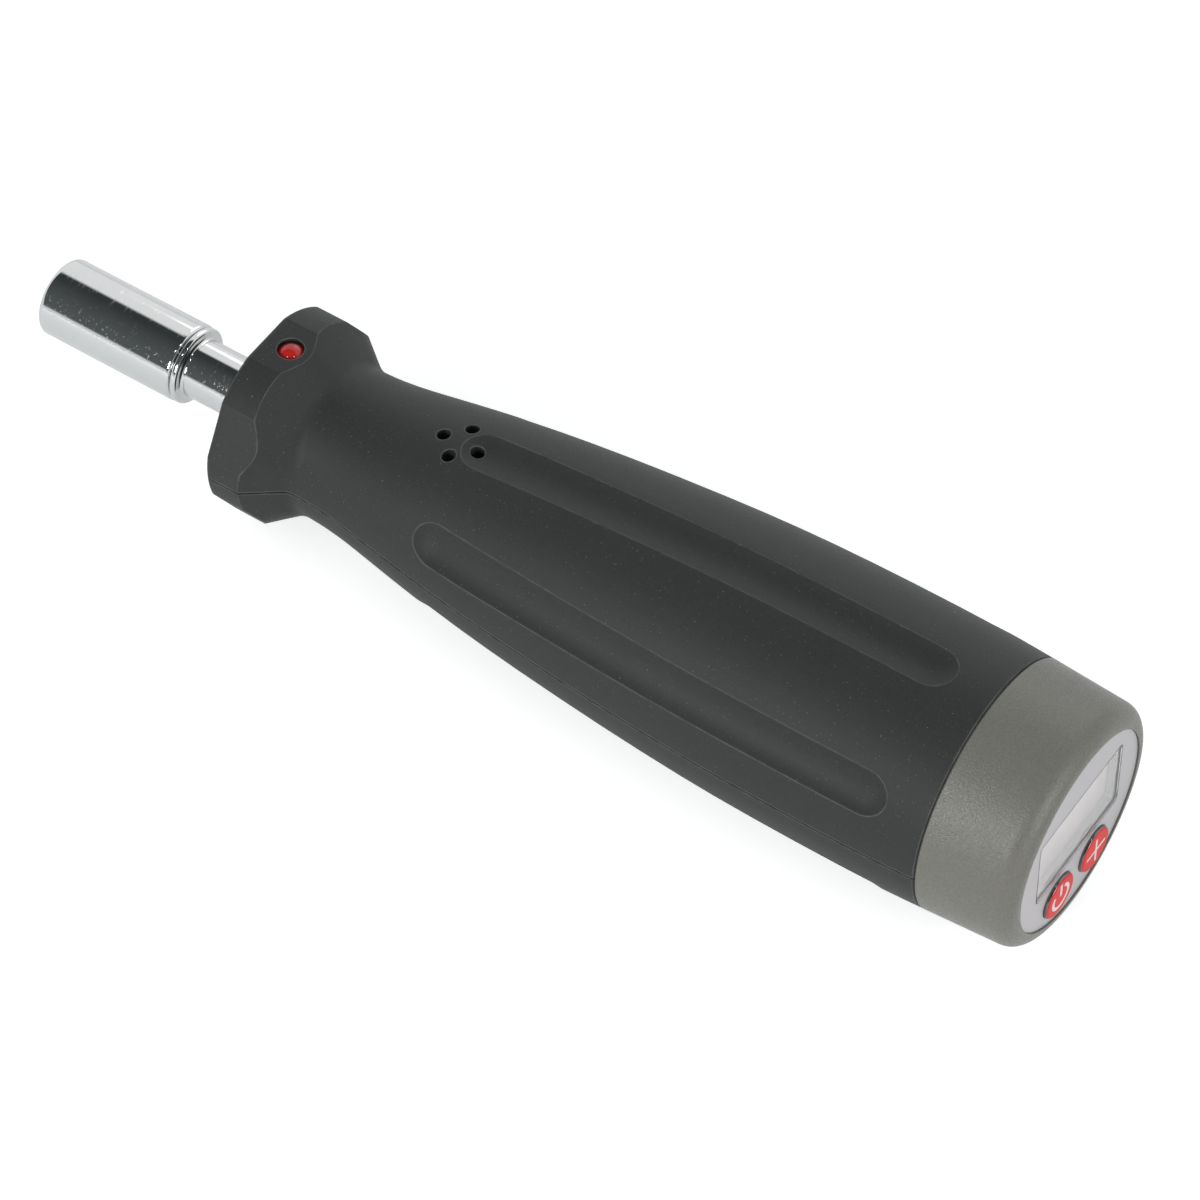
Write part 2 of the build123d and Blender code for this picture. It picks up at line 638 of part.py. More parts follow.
# Bit holder and shaft
def bit_holder():
    sleeve = SLEEVE_DIAMETER / 2
    bead = BEAD_DIAMETER / 2
    neck = NECK_DIAMETER / 2
    body = fillet(rod(sleeve, SLEEVE_FRONT_X, SLEEVE_REAR_X).edges(), SLEEVE_EDGE)
    bead_bar = rod(bead, SLEEVE_REAR_X - SLEEVE_EDGE, NECK_FRONT_X)
    rear_edge = bead_bar.edges().filter_by(lambda edge: edge.center().X > NECK_FRONT_X - FIT_GAP)
    body += fillet(rear_edge, BEAD_LENGTH / 3)
    body += rod(neck, NECK_FRONT_X - SLEEVE_EDGE, HOLDER_REAR_X)
    flats = Plane.YZ.offset(SLEEVE_FRONT_X) * RegularPolygon(
        HEX_ACROSS_FLATS / 2, SIDES, major_radius=False
    )
    body -= extrude(flats, HEX_DEPTH)
    corner = HEX_ACROSS_FLATS / math.sqrt(3)
    body -= spun(
        (SLEEVE_FRONT_X, 0),
        (SLEEVE_FRONT_X, corner + HEX_LEAD_IN),
        (SLEEVE_FRONT_X + 2 * HEX_LEAD_IN, corner - HEX_LEAD_IN),
        (SLEEVE_FRONT_X + 2 * HEX_LEAD_IN, 0),
    )
    magnet_x = SLEEVE_FRONT_X + HEX_DEPTH
    body -= rod(MAGNET_DIAMETER / 2 + FIT_GAP, magnet_x, magnet_x + MAGNET_LENGTH + FIT_GAP)
    body -= rod(SPIGOT_DIAMETER / 2 + FIT_GAP, SPIGOT_FRONT_X, HOLDER_REAR_X)
    groove = neck - CLIP_GROOVE_DEPTH
    body -= rod(neck, CLIP_FRONT_X, CLIP_REAR_X) - rod(groove, CLIP_FRONT_X, CLIP_REAR_X)
    return body - post(CROSS_PIN_DIAMETER / 2 + FIT_GAP, -neck, neck, CROSS_PIN_X, 0)


def bit_magnet():
    x0 = SLEEVE_FRONT_X + HEX_DEPTH
    return rod(MAGNET_DIAMETER / 2, x0, x0 + MAGNET_LENGTH)


def cross_pin():
    half = NECK_DIAMETER / 2 - PART_GAP
    return post(CROSS_PIN_DIAMETER / 2, -half, half, CROSS_PIN_X, 0)


def front_bush():
    flange_x = BUSH_FRONT_X + BUSH_FLANGE_SETBACK
    body = rod(BUSH_DIAMETER / 2, BUSH_FRONT_X, BUSH_REAR_X)
    body += rod(BUSH_FLANGE_DIAMETER / 2, flange_x, flange_x + BUSH_FLANGE_LENGTH)
    return body - rod(NECK_DIAMETER / 2 + FIT_GAP, BUSH_FRONT_X, BUSH_REAR_X)


def shaft_clip():
    inner = NECK_DIAMETER / 2 - CLIP_GROOVE_DEPTH + FIT_GAP
    x0 = CLIP_FRONT_X + FIT_GAP
    x1 = CLIP_REAR_X - FIT_GAP
    body = rod(CLIP_DIAMETER / 2, x0, x1) - rod(inner, x0, x1)
    return body - block(x0, x1, -inner / 2, inner / 2, 0, LID)


def sensor_screw_places():
    for index in range(SENSOR_SCREW_COUNT):
        angle = math.radians(90 + index * 360 / SENSOR_SCREW_COUNT)
        yield SENSOR_SCREW_CIRCLE / 2 * math.cos(angle), SENSOR_SCREW_CIRCLE / 2 * math.sin(angle)


def torque_sensor():
    body = rod(SPIGOT_DIAMETER / 2, SPIGOT_FRONT_X, HOLDER_REAR_X)
    body -= post(CROSS_PIN_DIAMETER / 2 + FIT_GAP, BELOW, LID, CROSS_PIN_X, 0)
    body += rod(NECK_DIAMETER / 2, HOLDER_REAR_X, GAUGE_FRONT_X)
    half = GAUGE_SQUARE / 2
    body += block(GAUGE_FRONT_X, GAUGE_REAR_X, -half, half, -half, half)
    body += rod(SENSOR_FLANGE_DIAMETER / 2, GAUGE_REAR_X, ANCHOR_FRONT_X)
    for y, z in sensor_screw_places():
        body -= rod(M2_DIAMETER / 2 + FIT_GAP, GAUGE_REAR_X, ANCHOR_FRONT_X, y, z)
    return body


def strain_gauges():
    centre_x = (GAUGE_FRONT_X + GAUGE_REAR_X) / 2
    half = GAUGE_SQUARE / 2
    foil = block(
        centre_x - FOIL_LENGTH / 2, centre_x + FOIL_LENGTH / 2,
        -FOIL_WIDTH / 2, FOIL_WIDTH / 2, half, half + FOIL_THICKNESS,
    )
    return group(*[Rot(quarter * 90, 0, 0) * foil for quarter in range(4)])


def sensor_screws():
    model = Rot(0, 90, 0) * screw(M2_DIAMETER, ANCHOR_LENGTH, M2_HEAD_DIAMETER, M2_HEAD_HEIGHT)
    return group(*[Pos(GAUGE_REAR_X, y, z) * model for y, z in sensor_screw_places()])


def anchor_block():
    body = rod(ANCHOR_DIAMETER / 2, ANCHOR_FRONT_X, ANCHOR_REAR_X)
    key = ANCHOR_KEY_WIDTH / 2
    wall_radius = grip_radius(ANCHOR_FRONT_X) - SHELL_WALL - PART_GAP
    reach = math.sqrt(wall_radius**2 - key**2)
    body += block(ANCHOR_FRONT_X, ANCHOR_REAR_X, -reach, reach, -key, key)
    for y, z in sensor_screw_places():
        body -= rod(M2_DIAMETER / 2 + FIT_GAP, ANCHOR_FRONT_X, ANCHOR_REAR_X, y, z)
    bottom = key + PART_GAP
    top = bottom + ANCHOR_NOTCH_HEIGHT
    for side in (-1, 1):
        y0, y1 = sorted((side * ANCHOR_NOTCH_INSIDE, side * LID))
        body -= block(ANCHOR_FRONT_X, ANCHOR_REAR_X, y0, y1, bottom, top)
    return body


# Sound and light
def buzzer():
    x = -BUZZER_STATION
    body = post(BUZZER_DIAMETER / 2, BUZZER_BASE, BUZZER_BASE + BUZZER_HEIGHT, x, 0)
    return body - post(SOUND_HOLE_DIAMETER / 2, BUZZER_BASE + BUZZER_HEIGHT / 2, LID, x, 0)


def indicator_led():
    x = -LED_STATION
    radius = LED_DIAMETER / 2
    top = NOSE_FLAT_RADIUS + LED_PROUD
    edge = top - LED_DOME_HEIGHT
    curve = (radius**2 + LED_DOME_HEIGHT**2) / (2 * LED_DOME_HEIGHT)
    body = post(LED_FLANGE_DIAMETER / 2, LED_BASE, LED_BASE + LED_FLANGE_HEIGHT, x, 0)
    body += post(radius, LED_BASE, edge, x, 0)
    return body + (post(radius, edge, top, x, 0) & Pos(x, 0, top - curve) * Sphere(curve))


# Batteries
def battery_tray():
    wall_x0 = BAY_FRONT_X - TRAY_WALL
    wall_x1 = BAY_REAR_X + TRAY_WALL
    half = BAY_HALF_WIDTH + TRAY_WALL
    body = block(wall_x0, wall_x1, -half, half, -TRAY_SIDE_DEPTH, 0)
    body -= block(BAY_FRONT_X, BAY_REAR_X, -BAY_HALF_WIDTH, BAY_HALF_WIDTH, BELOW, -TRAY_WALL)
    lug = TRAY_LUG_WIDTH / 2
    for x in tray_seat_stations():
        body += block(x - lug, x + lug, -TRAY_LUG_REACH, TRAY_LUG_REACH, -TRAY_WALL, 0)
    for x in main_screw_stations():
        body += post(STANDOFF_DIAMETER / 2, -TRAY_WALL, BOARD_STANDOFF, x, 0)
        body -= post(M2_DIAMETER / 2 + FIT_GAP, -TRAY_WALL, BOARD_STANDOFF, x, 0)
    for x0, y in contact_places():
        body -= contact_tab(x0, y, PART_GAP)
    return body


def battery_cell(side):
    # The two cells lie side by side and point opposite ways.
    y = side * CELL_SPACING / 2
    start = BAY_REAR_X - CONTACT_THICKNESS - CELL_LENGTH
    end = BAY_REAR_X - CONTACT_THICKNESS
    if side < 0:
        start, end = BAY_FRONT_X + CONTACT_THICKNESS, BAY_FRONT_X + CONTACT_THICKNESS + CELL_LENGTH
        body = rod(CELL_DIAMETER / 2, start + CELL_NUB_LENGTH, end, y, CELL_LEVEL)
    else:
        body = rod(CELL_DIAMETER / 2, start, end - CELL_NUB_LENGTH, y, CELL_LEVEL)
    return body + rod(CELL_NUB_DIAMETER / 2, start, end, y, CELL_LEVEL)


def battery_spring(side):
    y = side * CELL_SPACING / 2
    start = BAY_FRONT_X + CONTACT_THICKNESS
    if side < 0:
        start = BAY_REAR_X - CONTACT_THICKNESS - BATTERY_SPRING_LENGTH
    wire = BATTERY_SPRING_WIRE / 2
    room = BATTERY_SPRING_LENGTH - 2 * wire
    path = Helix(room / BATTERY_SPRING_TURNS, room, BATTERY_SPRING_RADIUS)
    coil = sweep((path ^ 0) * Circle(wire), path)
    return Pos(start + wire, y, CELL_LEVEL) * Rot(0, 90, 0) * coil


def contact_tab(x0, y, gap):
    # The tab that reaches up through the tray's top wall to the main board
    half = CONTACT_TAB_WIDTH / 2 + gap
    x1 = x0 + CONTACT_THICKNESS
    return block(x0 - gap, x1 + gap, y - half, y + half, -TRAY_WALL, BOARD_STANDOFF)


def contact_places():
    for side in (-1, 1):
        for x0 in (BAY_FRONT_X, BAY_REAR_X - CONTACT_THICKNESS):
            yield x0, side * CELL_SPACING / 2


def battery_contacts():
    half = CONTACT_WIDTH / 2
    plates = []
    for x0, y in contact_places():
        x1 = x0 + CONTACT_THICKNESS
        plate = block(x0, x1, y - half, y + half, -TRAY_SIDE_DEPTH, -TRAY_WALL)
        plates.append(plate + contact_tab(x0, y, 0))
    return group(*plates)


# Boards
def main_screw_stations():
    return (MAIN_BOARD_FRONT_X + MAIN_SCREW_INSET, MAIN_BOARD_REAR_X - MAIN_SCREW_INSET)


def main_board():
    half = MAIN_BOARD_WIDTH / 2
    top = MAIN_BOARD_TOP
    body = block(MAIN_BOARD_FRONT_X, MAIN_BOARD_REAR_X, -half, half, BOARD_STANDOFF, top)
    for x in main_screw_stations():
        body -= post(M2_DIAMETER / 2 + FIT_GAP, BOARD_STANDOFF, top, x, 0)
    components = [CONTROLLER, AMPLIFIER, REGULATOR]
    size = (LEAD_CONNECTOR_LENGTH, LEAD_CONNECTOR_WIDTH, LEAD_CONNECTOR_HEIGHT)
    for side in (-1, 1):
        dx = LEAD_CONNECTOR_LENGTH / 2 - CONNECTOR_OFFSET
        components.append((dx, side * LEAD_CONNECTOR_SPREAD, *size))
    size = (RIBBON_CONNECTOR_LENGTH, RIBBON_CONNECTOR_WIDTH, RIBBON_CONNECTOR_HEIGHT)
    components.append((CONNECTOR_OFFSET - RIBBON_CONNECTOR_LENGTH / 2, 0, *size))
    for dx, y, length, width, height in components:
        x = (MAIN_BOARD_FRONT_X + MAIN_BOARD_REAR_X) / 2 + dx
        body += block(x - length / 2, x + length / 2, y - width / 2, y + width / 2, top, top + height)
    return body


def main_board_screws():
    model = Rot(180, 0, 0) * screw(
        M2_DIAMETER, BOARD_THICKNESS + BOARD_STANDOFF + TRAY_WALL, M2_HEAD_DIAMETER, M2_HEAD_HEIGHT
    )
    return group(*[Pos(x, 0, MAIN_BOARD_TOP) * model for x in main_screw_stations()])


def display_board():
    front = DISPLAY_BOARD_FRONT
    body = rod(cap_bore_radius() - DISPLAY_BOARD_CLEARANCE, front, DISPLAY_BOARD_REAR_X)
    for y, z in DISPLAY_SCREW_PLACES:
        body -= rod(M2_DIAMETER / 2 + FIT_GAP, front, DISPLAY_BOARD_REAR_X, y, z)
    # Ribbon connector on the side that faces the handle
    half = RIBBON_CONNECTOR_WIDTH / 2
    low = DISPLAY_CONNECTOR_LEVEL - DISPLAY_CONNECTOR_HEIGHT / 2
    high = low + DISPLAY_CONNECTOR_HEIGHT
    return body + block(front - DISPLAY_CONNECTOR_DEPTH, front, -half, half, low, high)


def display_board_screws():
    model = Rot(0, 90, 0) * screw(
        M2_DIAMETER, DISPLAY_SCREW_LENGTH, M2_HEAD_DIAMETER, M2_HEAD_HEIGHT
    )
    return group(*[Pos(DISPLAY_BOARD_FRONT, y, z) * model for y, z in DISPLAY_SCREW_PLACES])


# End cap, face and display
def rounded_plate(width, height, corner, x0, x1):
    face = Plane.YZ.offset(x0) * Pos(0, WINDOW_CENTRE) * RectangleRounded(width, height, corner)
    return extrude(face, x1 - x0)


def button_bores(radius, x0, x1):
    return [rod(radius, x0, x1, side * BUTTON_HALF_SPACING, -BUTTON_DROP) for side in (-1, 1)]


def end_cap():
    body = spun(
        (0, 0), (0, JOINT_RADIUS - JOINT_CHAMFER), (JOINT_CHAMFER, JOINT_RADIUS),
        (CAP_LENGTH, CAP_REAR_RADIUS), (CAP_LENGTH, 0),
    )
    rear_edge = body.edges().filter_by(lambda edge: edge.center().X > CAP_LENGTH - FIT_GAP)
    body = fillet(rear_edge, CAP_EDGE - FIT_GAP)
    body -= rod(FACE_RADIUS + FIT_GAP, FACE_FRONT_X, CAP_LENGTH)
    body -= rod(cap_bore_radius(), 0, CAP_WALL_FRONT_X)
    lap = CAP_SPIGOT_LAP
    outer = spigot_radius()
    spigot = rod(outer, -CAP_SPIGOT_LENGTH, lap)
    spigot -= rod(outer - CAP_SPIGOT_WALL, -CAP_SPIGOT_LENGTH, lap)
    groove_x0 = -CAP_GROOVE_SETBACK - CAP_GROOVE_LENGTH
    spigot -= rod(outer, groove_x0, -CAP_GROOVE_SETBACK) - rod(
        outer - CAP_GROOVE_DEPTH, groove_x0, -CAP_GROOVE_SETBACK
    )
    body += spigot
    border = 2 * WINDOW_BORDER
    body -= rounded_plate(
        WINDOW_WIDTH + border + 2 * FIT_GAP, WINDOW_HEIGHT + border + 2 * FIT_GAP,
        WINDOW_CORNER, FACE_FRONT_X - WINDOW_BASE, FACE_FRONT_X,
    )
    body -= rounded_plate(WINDOW_WIDTH, WINDOW_HEIGHT, WINDOW_CORNER, CAP_WALL_FRONT_X, FACE_FRONT_X)
    for bore in button_bores(BUTTON_DIAMETER / 2 + PART_GAP, CAP_WALL_FRONT_X, FACE_FRONT_X):
        body -= bore
    for y, z in DISPLAY_SCREW_PLACES:
        boss = rod(DISPLAY_BOSS_DIAMETER / 2, DISPLAY_BOARD_REAR_X, CAP_WALL_FRONT_X, y, z)
        pilot_end = DISPLAY_BOARD_FRONT + DISPLAY_SCREW_LENGTH + PART_GAP
        body += boss - rod(M2_DIAMETER / 2 + FIT_GAP, DISPLAY_BOARD_REAR_X, pilot_end, y, z)
    return body


def face_plate():
    body = rod(FACE_RADIUS, FACE_FRONT_X, FACE_REAR_X)
    body -= rounded_plate(WINDOW_WIDTH, WINDOW_HEIGHT, WINDOW_CORNER, FACE_FRONT_X, FACE_REAR_X)
    for bore in button_bores(BUTTON_DIAMETER / 2 + PART_GAP, FACE_FRONT_X, FACE_REAR_X):
        body -= bore
    return body


def display_window():
    border = 2 * WINDOW_BORDER
    body = rounded_plate(
        WINDOW_WIDTH + border, WINDOW_HEIGHT + border, WINDOW_CORNER,
        FACE_FRONT_X - WINDOW_BASE, FACE_FRONT_X,
    )
    gap = 2 * FIT_GAP
    return body + rounded_plate(
        WINDOW_WIDTH - gap, WINDOW_HEIGHT - gap, WINDOW_CORNER, FACE_FRONT_X, FACE_REAR_X
    )


def lcd_panel():
    half = LCD_WIDTH / 2
    low = WINDOW_CENTRE - LCD_HEIGHT / 2
    x1 = CAP_WALL_FRONT_X
    return block(x1 - LCD_THICKNESS, x1, -half, half, low, low + LCD_HEIGHT)


def lcd_frame():
    half = LCD_WIDTH / 2 + FIT_GAP
    low = WINDOW_CENTRE - LCD_HEIGHT / 2 - FIT_GAP
    high = low + LCD_HEIGHT + 2 * FIT_GAP
    wall = FRAME_WALL
    x0 = DISPLAY_BOARD_REAR_X
    x1 = CAP_WALL_FRONT_X
    body = block(x0, x1, -half - wall, half + wall, low - wall, high + wall)
    return body - block(x0, x1, -half, half, low, high)


def zebra_strips():
    half = ZEBRA_LENGTH / 2
    low = WINDOW_CENTRE - LCD_HEIGHT / 2
    high = low + LCD_HEIGHT
    x1 = CAP_WALL_FRONT_X - LCD_THICKNESS
    lower = block(DISPLAY_BOARD_REAR_X, x1, -half, half, low, low + ZEBRA_THICKNESS)
    upper = block(DISPLAY_BOARD_REAR_X, x1, -half, half, high - ZEBRA_THICKNESS, high)
    return group(lower, upper)


def button(side):
    y = side * BUTTON_HALF_SPACING
    z = -BUTTON_DROP
    flange_rear = CAP_WALL_FRONT_X - FIT_GAP
    flange_front = flange_rear - BUTTON_FLANGE_THICKNESS
    body = rod(BUTTON_DIAMETER / 2, flange_front, BUTTON_TOP_X, y, z)
    top_edge = body.edges().filter_by(lambda edge: edge.center().X > BUTTON_TOP_X - FIT_GAP)
    body = fillet(top_edge, BUTTON_EDGE)
    body += rod(BUTTON_FLANGE_DIAMETER / 2, flange_front, flange_rear, y, z)
    plunger_top = DISPLAY_BOARD_REAR_X + SWITCH_HEIGHT + PLUNGER_PROUD
    return body + rod(PLUNGER_DIAMETER / 2, plunger_top, flange_front, y, z)


def switch_plunger(side):
    y = side * BUTTON_HALF_SPACING
    top = DISPLAY_BOARD_REAR_X + SWITCH_HEIGHT + PLUNGER_PROUD
    bottom = DISPLAY_BOARD_REAR_X + SWITCH_HEIGHT - PLUNGER_ROOM
    return rod(PLUNGER_DIAMETER / 2, bottom, top, y, -BUTTON_DROP)


def tact_switches():
    half = SWITCH_SQUARE / 2
    x0 = DISPLAY_BOARD_REAR_X
    x1 = x0 + SWITCH_HEIGHT
    bodies = []
    for side in (-1, 1):
        y = side * BUTTON_HALF_SPACING
        z = -BUTTON_DROP
        body = block(x0, x1, y - half, y + half, z - half, z + half)
        well = x1 - PLUNGER_ROOM - BUTTON_TRAVEL - PART_GAP
        bodies.append(body - rod(PLUNGER_DIAMETER / 2 + FIT_GAP, well, x1, y, z))
    return group(*bodies)


# Leads and ribbon
def connector_x():
    return (MAIN_BOARD_FRONT_X + MAIN_BOARD_REAR_X) / 2 - CONNECTOR_OFFSET - PART_GAP


def led_leads():
    level = LED_CHANNEL_FLOOR + LEAD_DIAMETER / 2 + PART_GAP
    route = (
        (-LED_STATION, 0, level),
        (BUSH_REAR_X, 0, level),
        *LED_LEAD_ROUTE,
        (connector_x(), *LED_LEAD_END),
    )
    return tube(route, LED_LEAD_BENDS, LEAD_DIAMETER)


def sensor_leads():
    foil_x = (GAUGE_FRONT_X + GAUGE_REAR_X) / 2
    side_y = GAUGE_SQUARE / 2 + FOIL_THICKNESS + LEAD_DIAMETER / 2
    route = (
        (foil_x - FOIL_LENGTH / 2, -side_y, 0),
        (foil_x + FOIL_LENGTH / 2, -side_y - LOOSE_GAP, SENSOR_LEAD_LIFT),
        *SENSOR_LEAD_ROUTE,
        (connector_x(), *SENSOR_LEAD_END),
    )
    return tube(route, SENSOR_LEAD_BENDS, LEAD_DIAMETER)


def buzzer_leads():
    route = (*BUZZER_LEAD_ROUTE, (connector_x(), *BUZZER_LEAD_END))
    return tube(route, BUZZER_LEAD_BENDS, LEAD_DIAMETER / 2)


def display_ribbon():
    start_x = (MAIN_BOARD_FRONT_X + MAIN_BOARD_REAR_X) / 2 + CONNECTOR_OFFSET + PART_GAP
    end_x = DISPLAY_BOARD_FRONT - DISPLAY_CONNECTOR_DEPTH - PART_GAP - FIT_GAP
    path = FilletPolyline(
        (start_x, 0, RIBBON_LEVEL),
        (start_x + RIBBON_LEAD_OUT, 0, RIBBON_LEVEL),
        *RIBBON_ROUTE,
        (end_x, 0, DISPLAY_CONNECTOR_LEVEL),
        radius=RIBBON_BEND,
    )
    return sweep((path ^ 0) * Rectangle(RIBBON_THICKNESS, RIBBON_WIDTH), path)


def build_parts():
    form = handle_form()
    room = handle_cavity()
    skin = form - room - parting_groove()
    return {
        "handle_shell_upper": upper_shell(skin, room),
        "handle_shell_lower": lower_shell(skin, room),
        "battery_door": battery_door(skin, room),
        "shell_screws": shell_screws(),
        "bit_holder": bit_holder(),
        "bit_magnet": bit_magnet(),
        "cross_pin": cross_pin(),
        "front_bush": front_bush(),
        "shaft_clip": shaft_clip(),
        "torque_sensor": torque_sensor(),
        "strain_gauges": strain_gauges(),
        "sensor_screws": sensor_screws(),
        "anchor_block": anchor_block(),
        "buzzer": buzzer(),
        "buzzer_leads": buzzer_leads(),
        "indicator_led": indicator_led(),
        "led_leads": led_leads(),
        "sensor_leads": sensor_leads(),
        "battery_tray": battery_tray(),
        "battery_cells": group(battery_cell(-1), battery_cell(1)),
        "battery_springs": group(battery_spring(-1), battery_spring(1)),
        "battery_contacts": battery_contacts(),
        "main_board": main_board(),
        "main_board_screws": main_board_screws(),
        "display_board": display_board(),
        "display_board_screws": display_board_screws(),
        "display_ribbon": display_ribbon(),
        "end_cap": end_cap(),
        "face_plate": face_plate(),
        "display_window": display_window(),
        "lcd_panel": lcd_panel(),
        "lcd_frame": lcd_frame(),
        "zebra_strips": zebra_strips(),
        "tact_switches": tact_switches(),
        "power_button": button(-1),
        "power_switch_plunger": switch_plunger(-1),
        "plus_button": button(1),
        "plus_switch_plunger": switch_plunger(1),
    }


def bench_place(parts):
    # The row's origin is below the tool's middle, on the surface that it rests on.
    middle_x = (SLEEVE_FRONT_X + BUTTON_TOP_X) / 2
    lowest = parts["handle_shell_lower"].bounding_box().min.Z
    return Pos(-middle_x, 0, -lowest)


def main():
    os.makedirs("parts", exist_ok=True)
    parts = build_parts()
    place = bench_place(parts)
    print("middle", place.position)
    for name, shape in parts.items():
        export_step(place * shape, f"parts/{name}.step")


main()
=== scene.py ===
import math

import bmesh
import bpy
from mathutils import Matrix, Vector


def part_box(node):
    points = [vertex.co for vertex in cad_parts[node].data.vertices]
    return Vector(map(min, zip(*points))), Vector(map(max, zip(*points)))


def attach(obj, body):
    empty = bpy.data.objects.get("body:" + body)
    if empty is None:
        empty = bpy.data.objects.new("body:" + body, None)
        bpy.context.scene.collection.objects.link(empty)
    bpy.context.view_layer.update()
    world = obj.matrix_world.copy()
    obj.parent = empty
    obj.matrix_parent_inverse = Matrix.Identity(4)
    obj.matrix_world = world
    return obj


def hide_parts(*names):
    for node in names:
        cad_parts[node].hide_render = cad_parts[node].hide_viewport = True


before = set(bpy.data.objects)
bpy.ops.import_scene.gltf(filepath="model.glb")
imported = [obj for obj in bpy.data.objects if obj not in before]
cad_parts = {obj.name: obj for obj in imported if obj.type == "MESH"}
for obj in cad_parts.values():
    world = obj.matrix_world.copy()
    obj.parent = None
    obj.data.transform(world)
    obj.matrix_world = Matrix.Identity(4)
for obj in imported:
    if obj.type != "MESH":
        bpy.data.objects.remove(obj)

bl_info = {
    "name": "Digital Torque Screwdriver",
    "version": (1, 0, 0),
    "blender": (4, 5, 0),
    "location": "3D View > Sidebar > Screwdriver",
    "description": "Finishes the torque screwdriver and sets up its studio",
    "category": "Object",
}

MM = 0.001

# The tool lies along X, its bit end at -X. Places along it are counted from the joint
# between the handle and the end cap.
CAP_LOW, CAP_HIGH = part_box("end_cap")
CAP_LENGTH = 15.1 * MM
JOINT_X = CAP_HIGH.x - CAP_LENGTH
AXIS_Z = (CAP_LOW.z + CAP_HIGH.z) / 2

# Bit holder
SHOULDER = -141.3 * MM  # the sleeve's rear end
HOLDER_STEPS = 96
MAGNET_PLAY = 0.05 * MM
CLIP_PLAY = 0.05 * MM
WELD_DISTANCE = 0.001 * MM

# Opening for the display
WINDOW_CORNER = 0.8 * MM
BEZEL_CORNER = 0.75 * MM
BEZEL_INNER_CORNER = 0.5 * MM
BEZEL_PLAY = 0.1 * MM
BEZEL_FRONT_GAP = 0.05 * MM
BEZEL_REAR_GAP = 0.02 * MM
LCD_MARGINS = ((1, 1.5 * MM), (2, 1.1 * MM))  # axis, and the panel's margin along it

# Print
OUTLINE_SUNK = 0.01 * MM
OUTLINE_PROUD = 0.012 * MM
SIGN_THICKNESS = 0.02 * MM
OVERPRINT = 1.1  # a line that crosses another stands this much higher
PRINT_TEXTURE = 0.002 * MM

# Surface effects
DUST_RAGGEDNESS = 0.2 * MM
WEAR_RADIUS = 0.35 * MM
WEAR_THRESHOLD = 0.997
SCRATCH_TURNS = ((0.2, 0.5, 1.1), (1.3, -0.4, 0.3), (-0.6, 1.0, 2.2))
SCRATCH_STRETCH = 0.02
RUBBED_COLOUR = (0.2, 0.2, 0.2)
# Dust on the handle, from fine grit to lint: scale, size, amount and paleness
DUST_LAYERS = ((2600.0, 0.24, 0.5, 0.1), (1100.0, 0.1, 0.35, 0.2), (230.0, 0.045, 0.3, 0.34))
RIM_BLEND = 0.03 * MM

# Studio, in metres
DARK_SIDE = (-0.1, -0.49, 0.866)  # direction of the dark side's middle
DARK_EDGE = (0.5, 0.62)  # cosines of the angles from there at which it begins and is full
FLOOR_SLOPE = math.radians(2.2)
FLOOR_REACH = 6.0
CAMERA_SHIFT = (5.5 * MM, 0.227 * MM)  # to the left and down
# Name, place, target, width and power
LAMPS = (
    ("lamp_key", (-0.133, -0.508, 0.255), (0.035, 0, 0.02), 0.2, 1.6),
    ("lamp_face", (0.95, -0.15, 0.4), (0, 0, 0), 0.5, 3.0),
    ("lamp_back", (-0.2, 0.9, 0.5), (0, 0, 0), 0.7, 1.0),
)
# Directions from the indicator lamp to the small lamps that glint in it
GLINTS = ((-0.170, -0.421, 0.891), (0.396, -0.043, 0.917))
GLINT_DISTANCE = 0.6
GLINT_SIZE = 0.06
GLINT_POWER = 0.15


def at(x, y, z):
    """A place in the frame, from millimetres along, across and above the tool's axis."""
    return Vector((JOINT_X + x * MM, y * MM, AXIS_Z + z * MM))


# Sizes and colours that a user would change
class HandleSettings(bpy.types.PropertyGroup):
    colour: bpy.props.FloatVectorProperty(
        name="Colour", description="Colour of the soft-touch handle",
        subtype="COLOR", size=3, min=0, max=1, default=(0.021, 0.0225, 0.022),
    )
    roughness: bpy.props.FloatProperty(
        name="Roughness", description="Roughness of the soft-touch coat",
        subtype="FACTOR", min=0, max=1, default=0.6,
    )
    wear: bpy.props.FloatProperty(
        name="Edge Wear", description="How pale the rubbed edges are",
        subtype="FACTOR", min=0, max=1, default=0.5,
    )


class CapSettings(bpy.types.PropertyGroup):
    colour: bpy.props.FloatVectorProperty(
        name="Colour", description="Colour of the end cap",
        subtype="COLOR", size=3, min=0, max=1, default=(0.168, 0.163, 0.139),
    )
    face_colour: bpy.props.FloatVectorProperty(
        name="Face Colour", description="Colour of the face plate",
        subtype="COLOR", size=3, min=0, max=1, default=(0.55, 0.525, 0.54),
    )
    window_width: bpy.props.FloatProperty(
        name="Window Width", description="Width of the opening for the display",
        subtype="DISTANCE", unit="LENGTH", min=0.005, max=0.03, default=22.1 * MM,
    )
    window_height: bpy.props.FloatProperty(
        name="Window Height", description="Height of the opening for the display",
        subtype="DISTANCE", unit="LENGTH", min=0.005, max=0.03, default=13.4 * MM,
    )
    bezel: bpy.props.FloatProperty(
        name="Bezel", description="Wall of the rim that lines the display's opening",
        subtype="DISTANCE", unit="LENGTH", min=0.0001, max=0.002, default=0.3 * MM,
    )
    outline: bpy.props.FloatProperty(
        name="Outline", description="Width of the dark line round the display's opening",
        subtype="DISTANCE", unit="LENGTH", min=0.00005, max=0.001, default=0.14 * MM,
    )


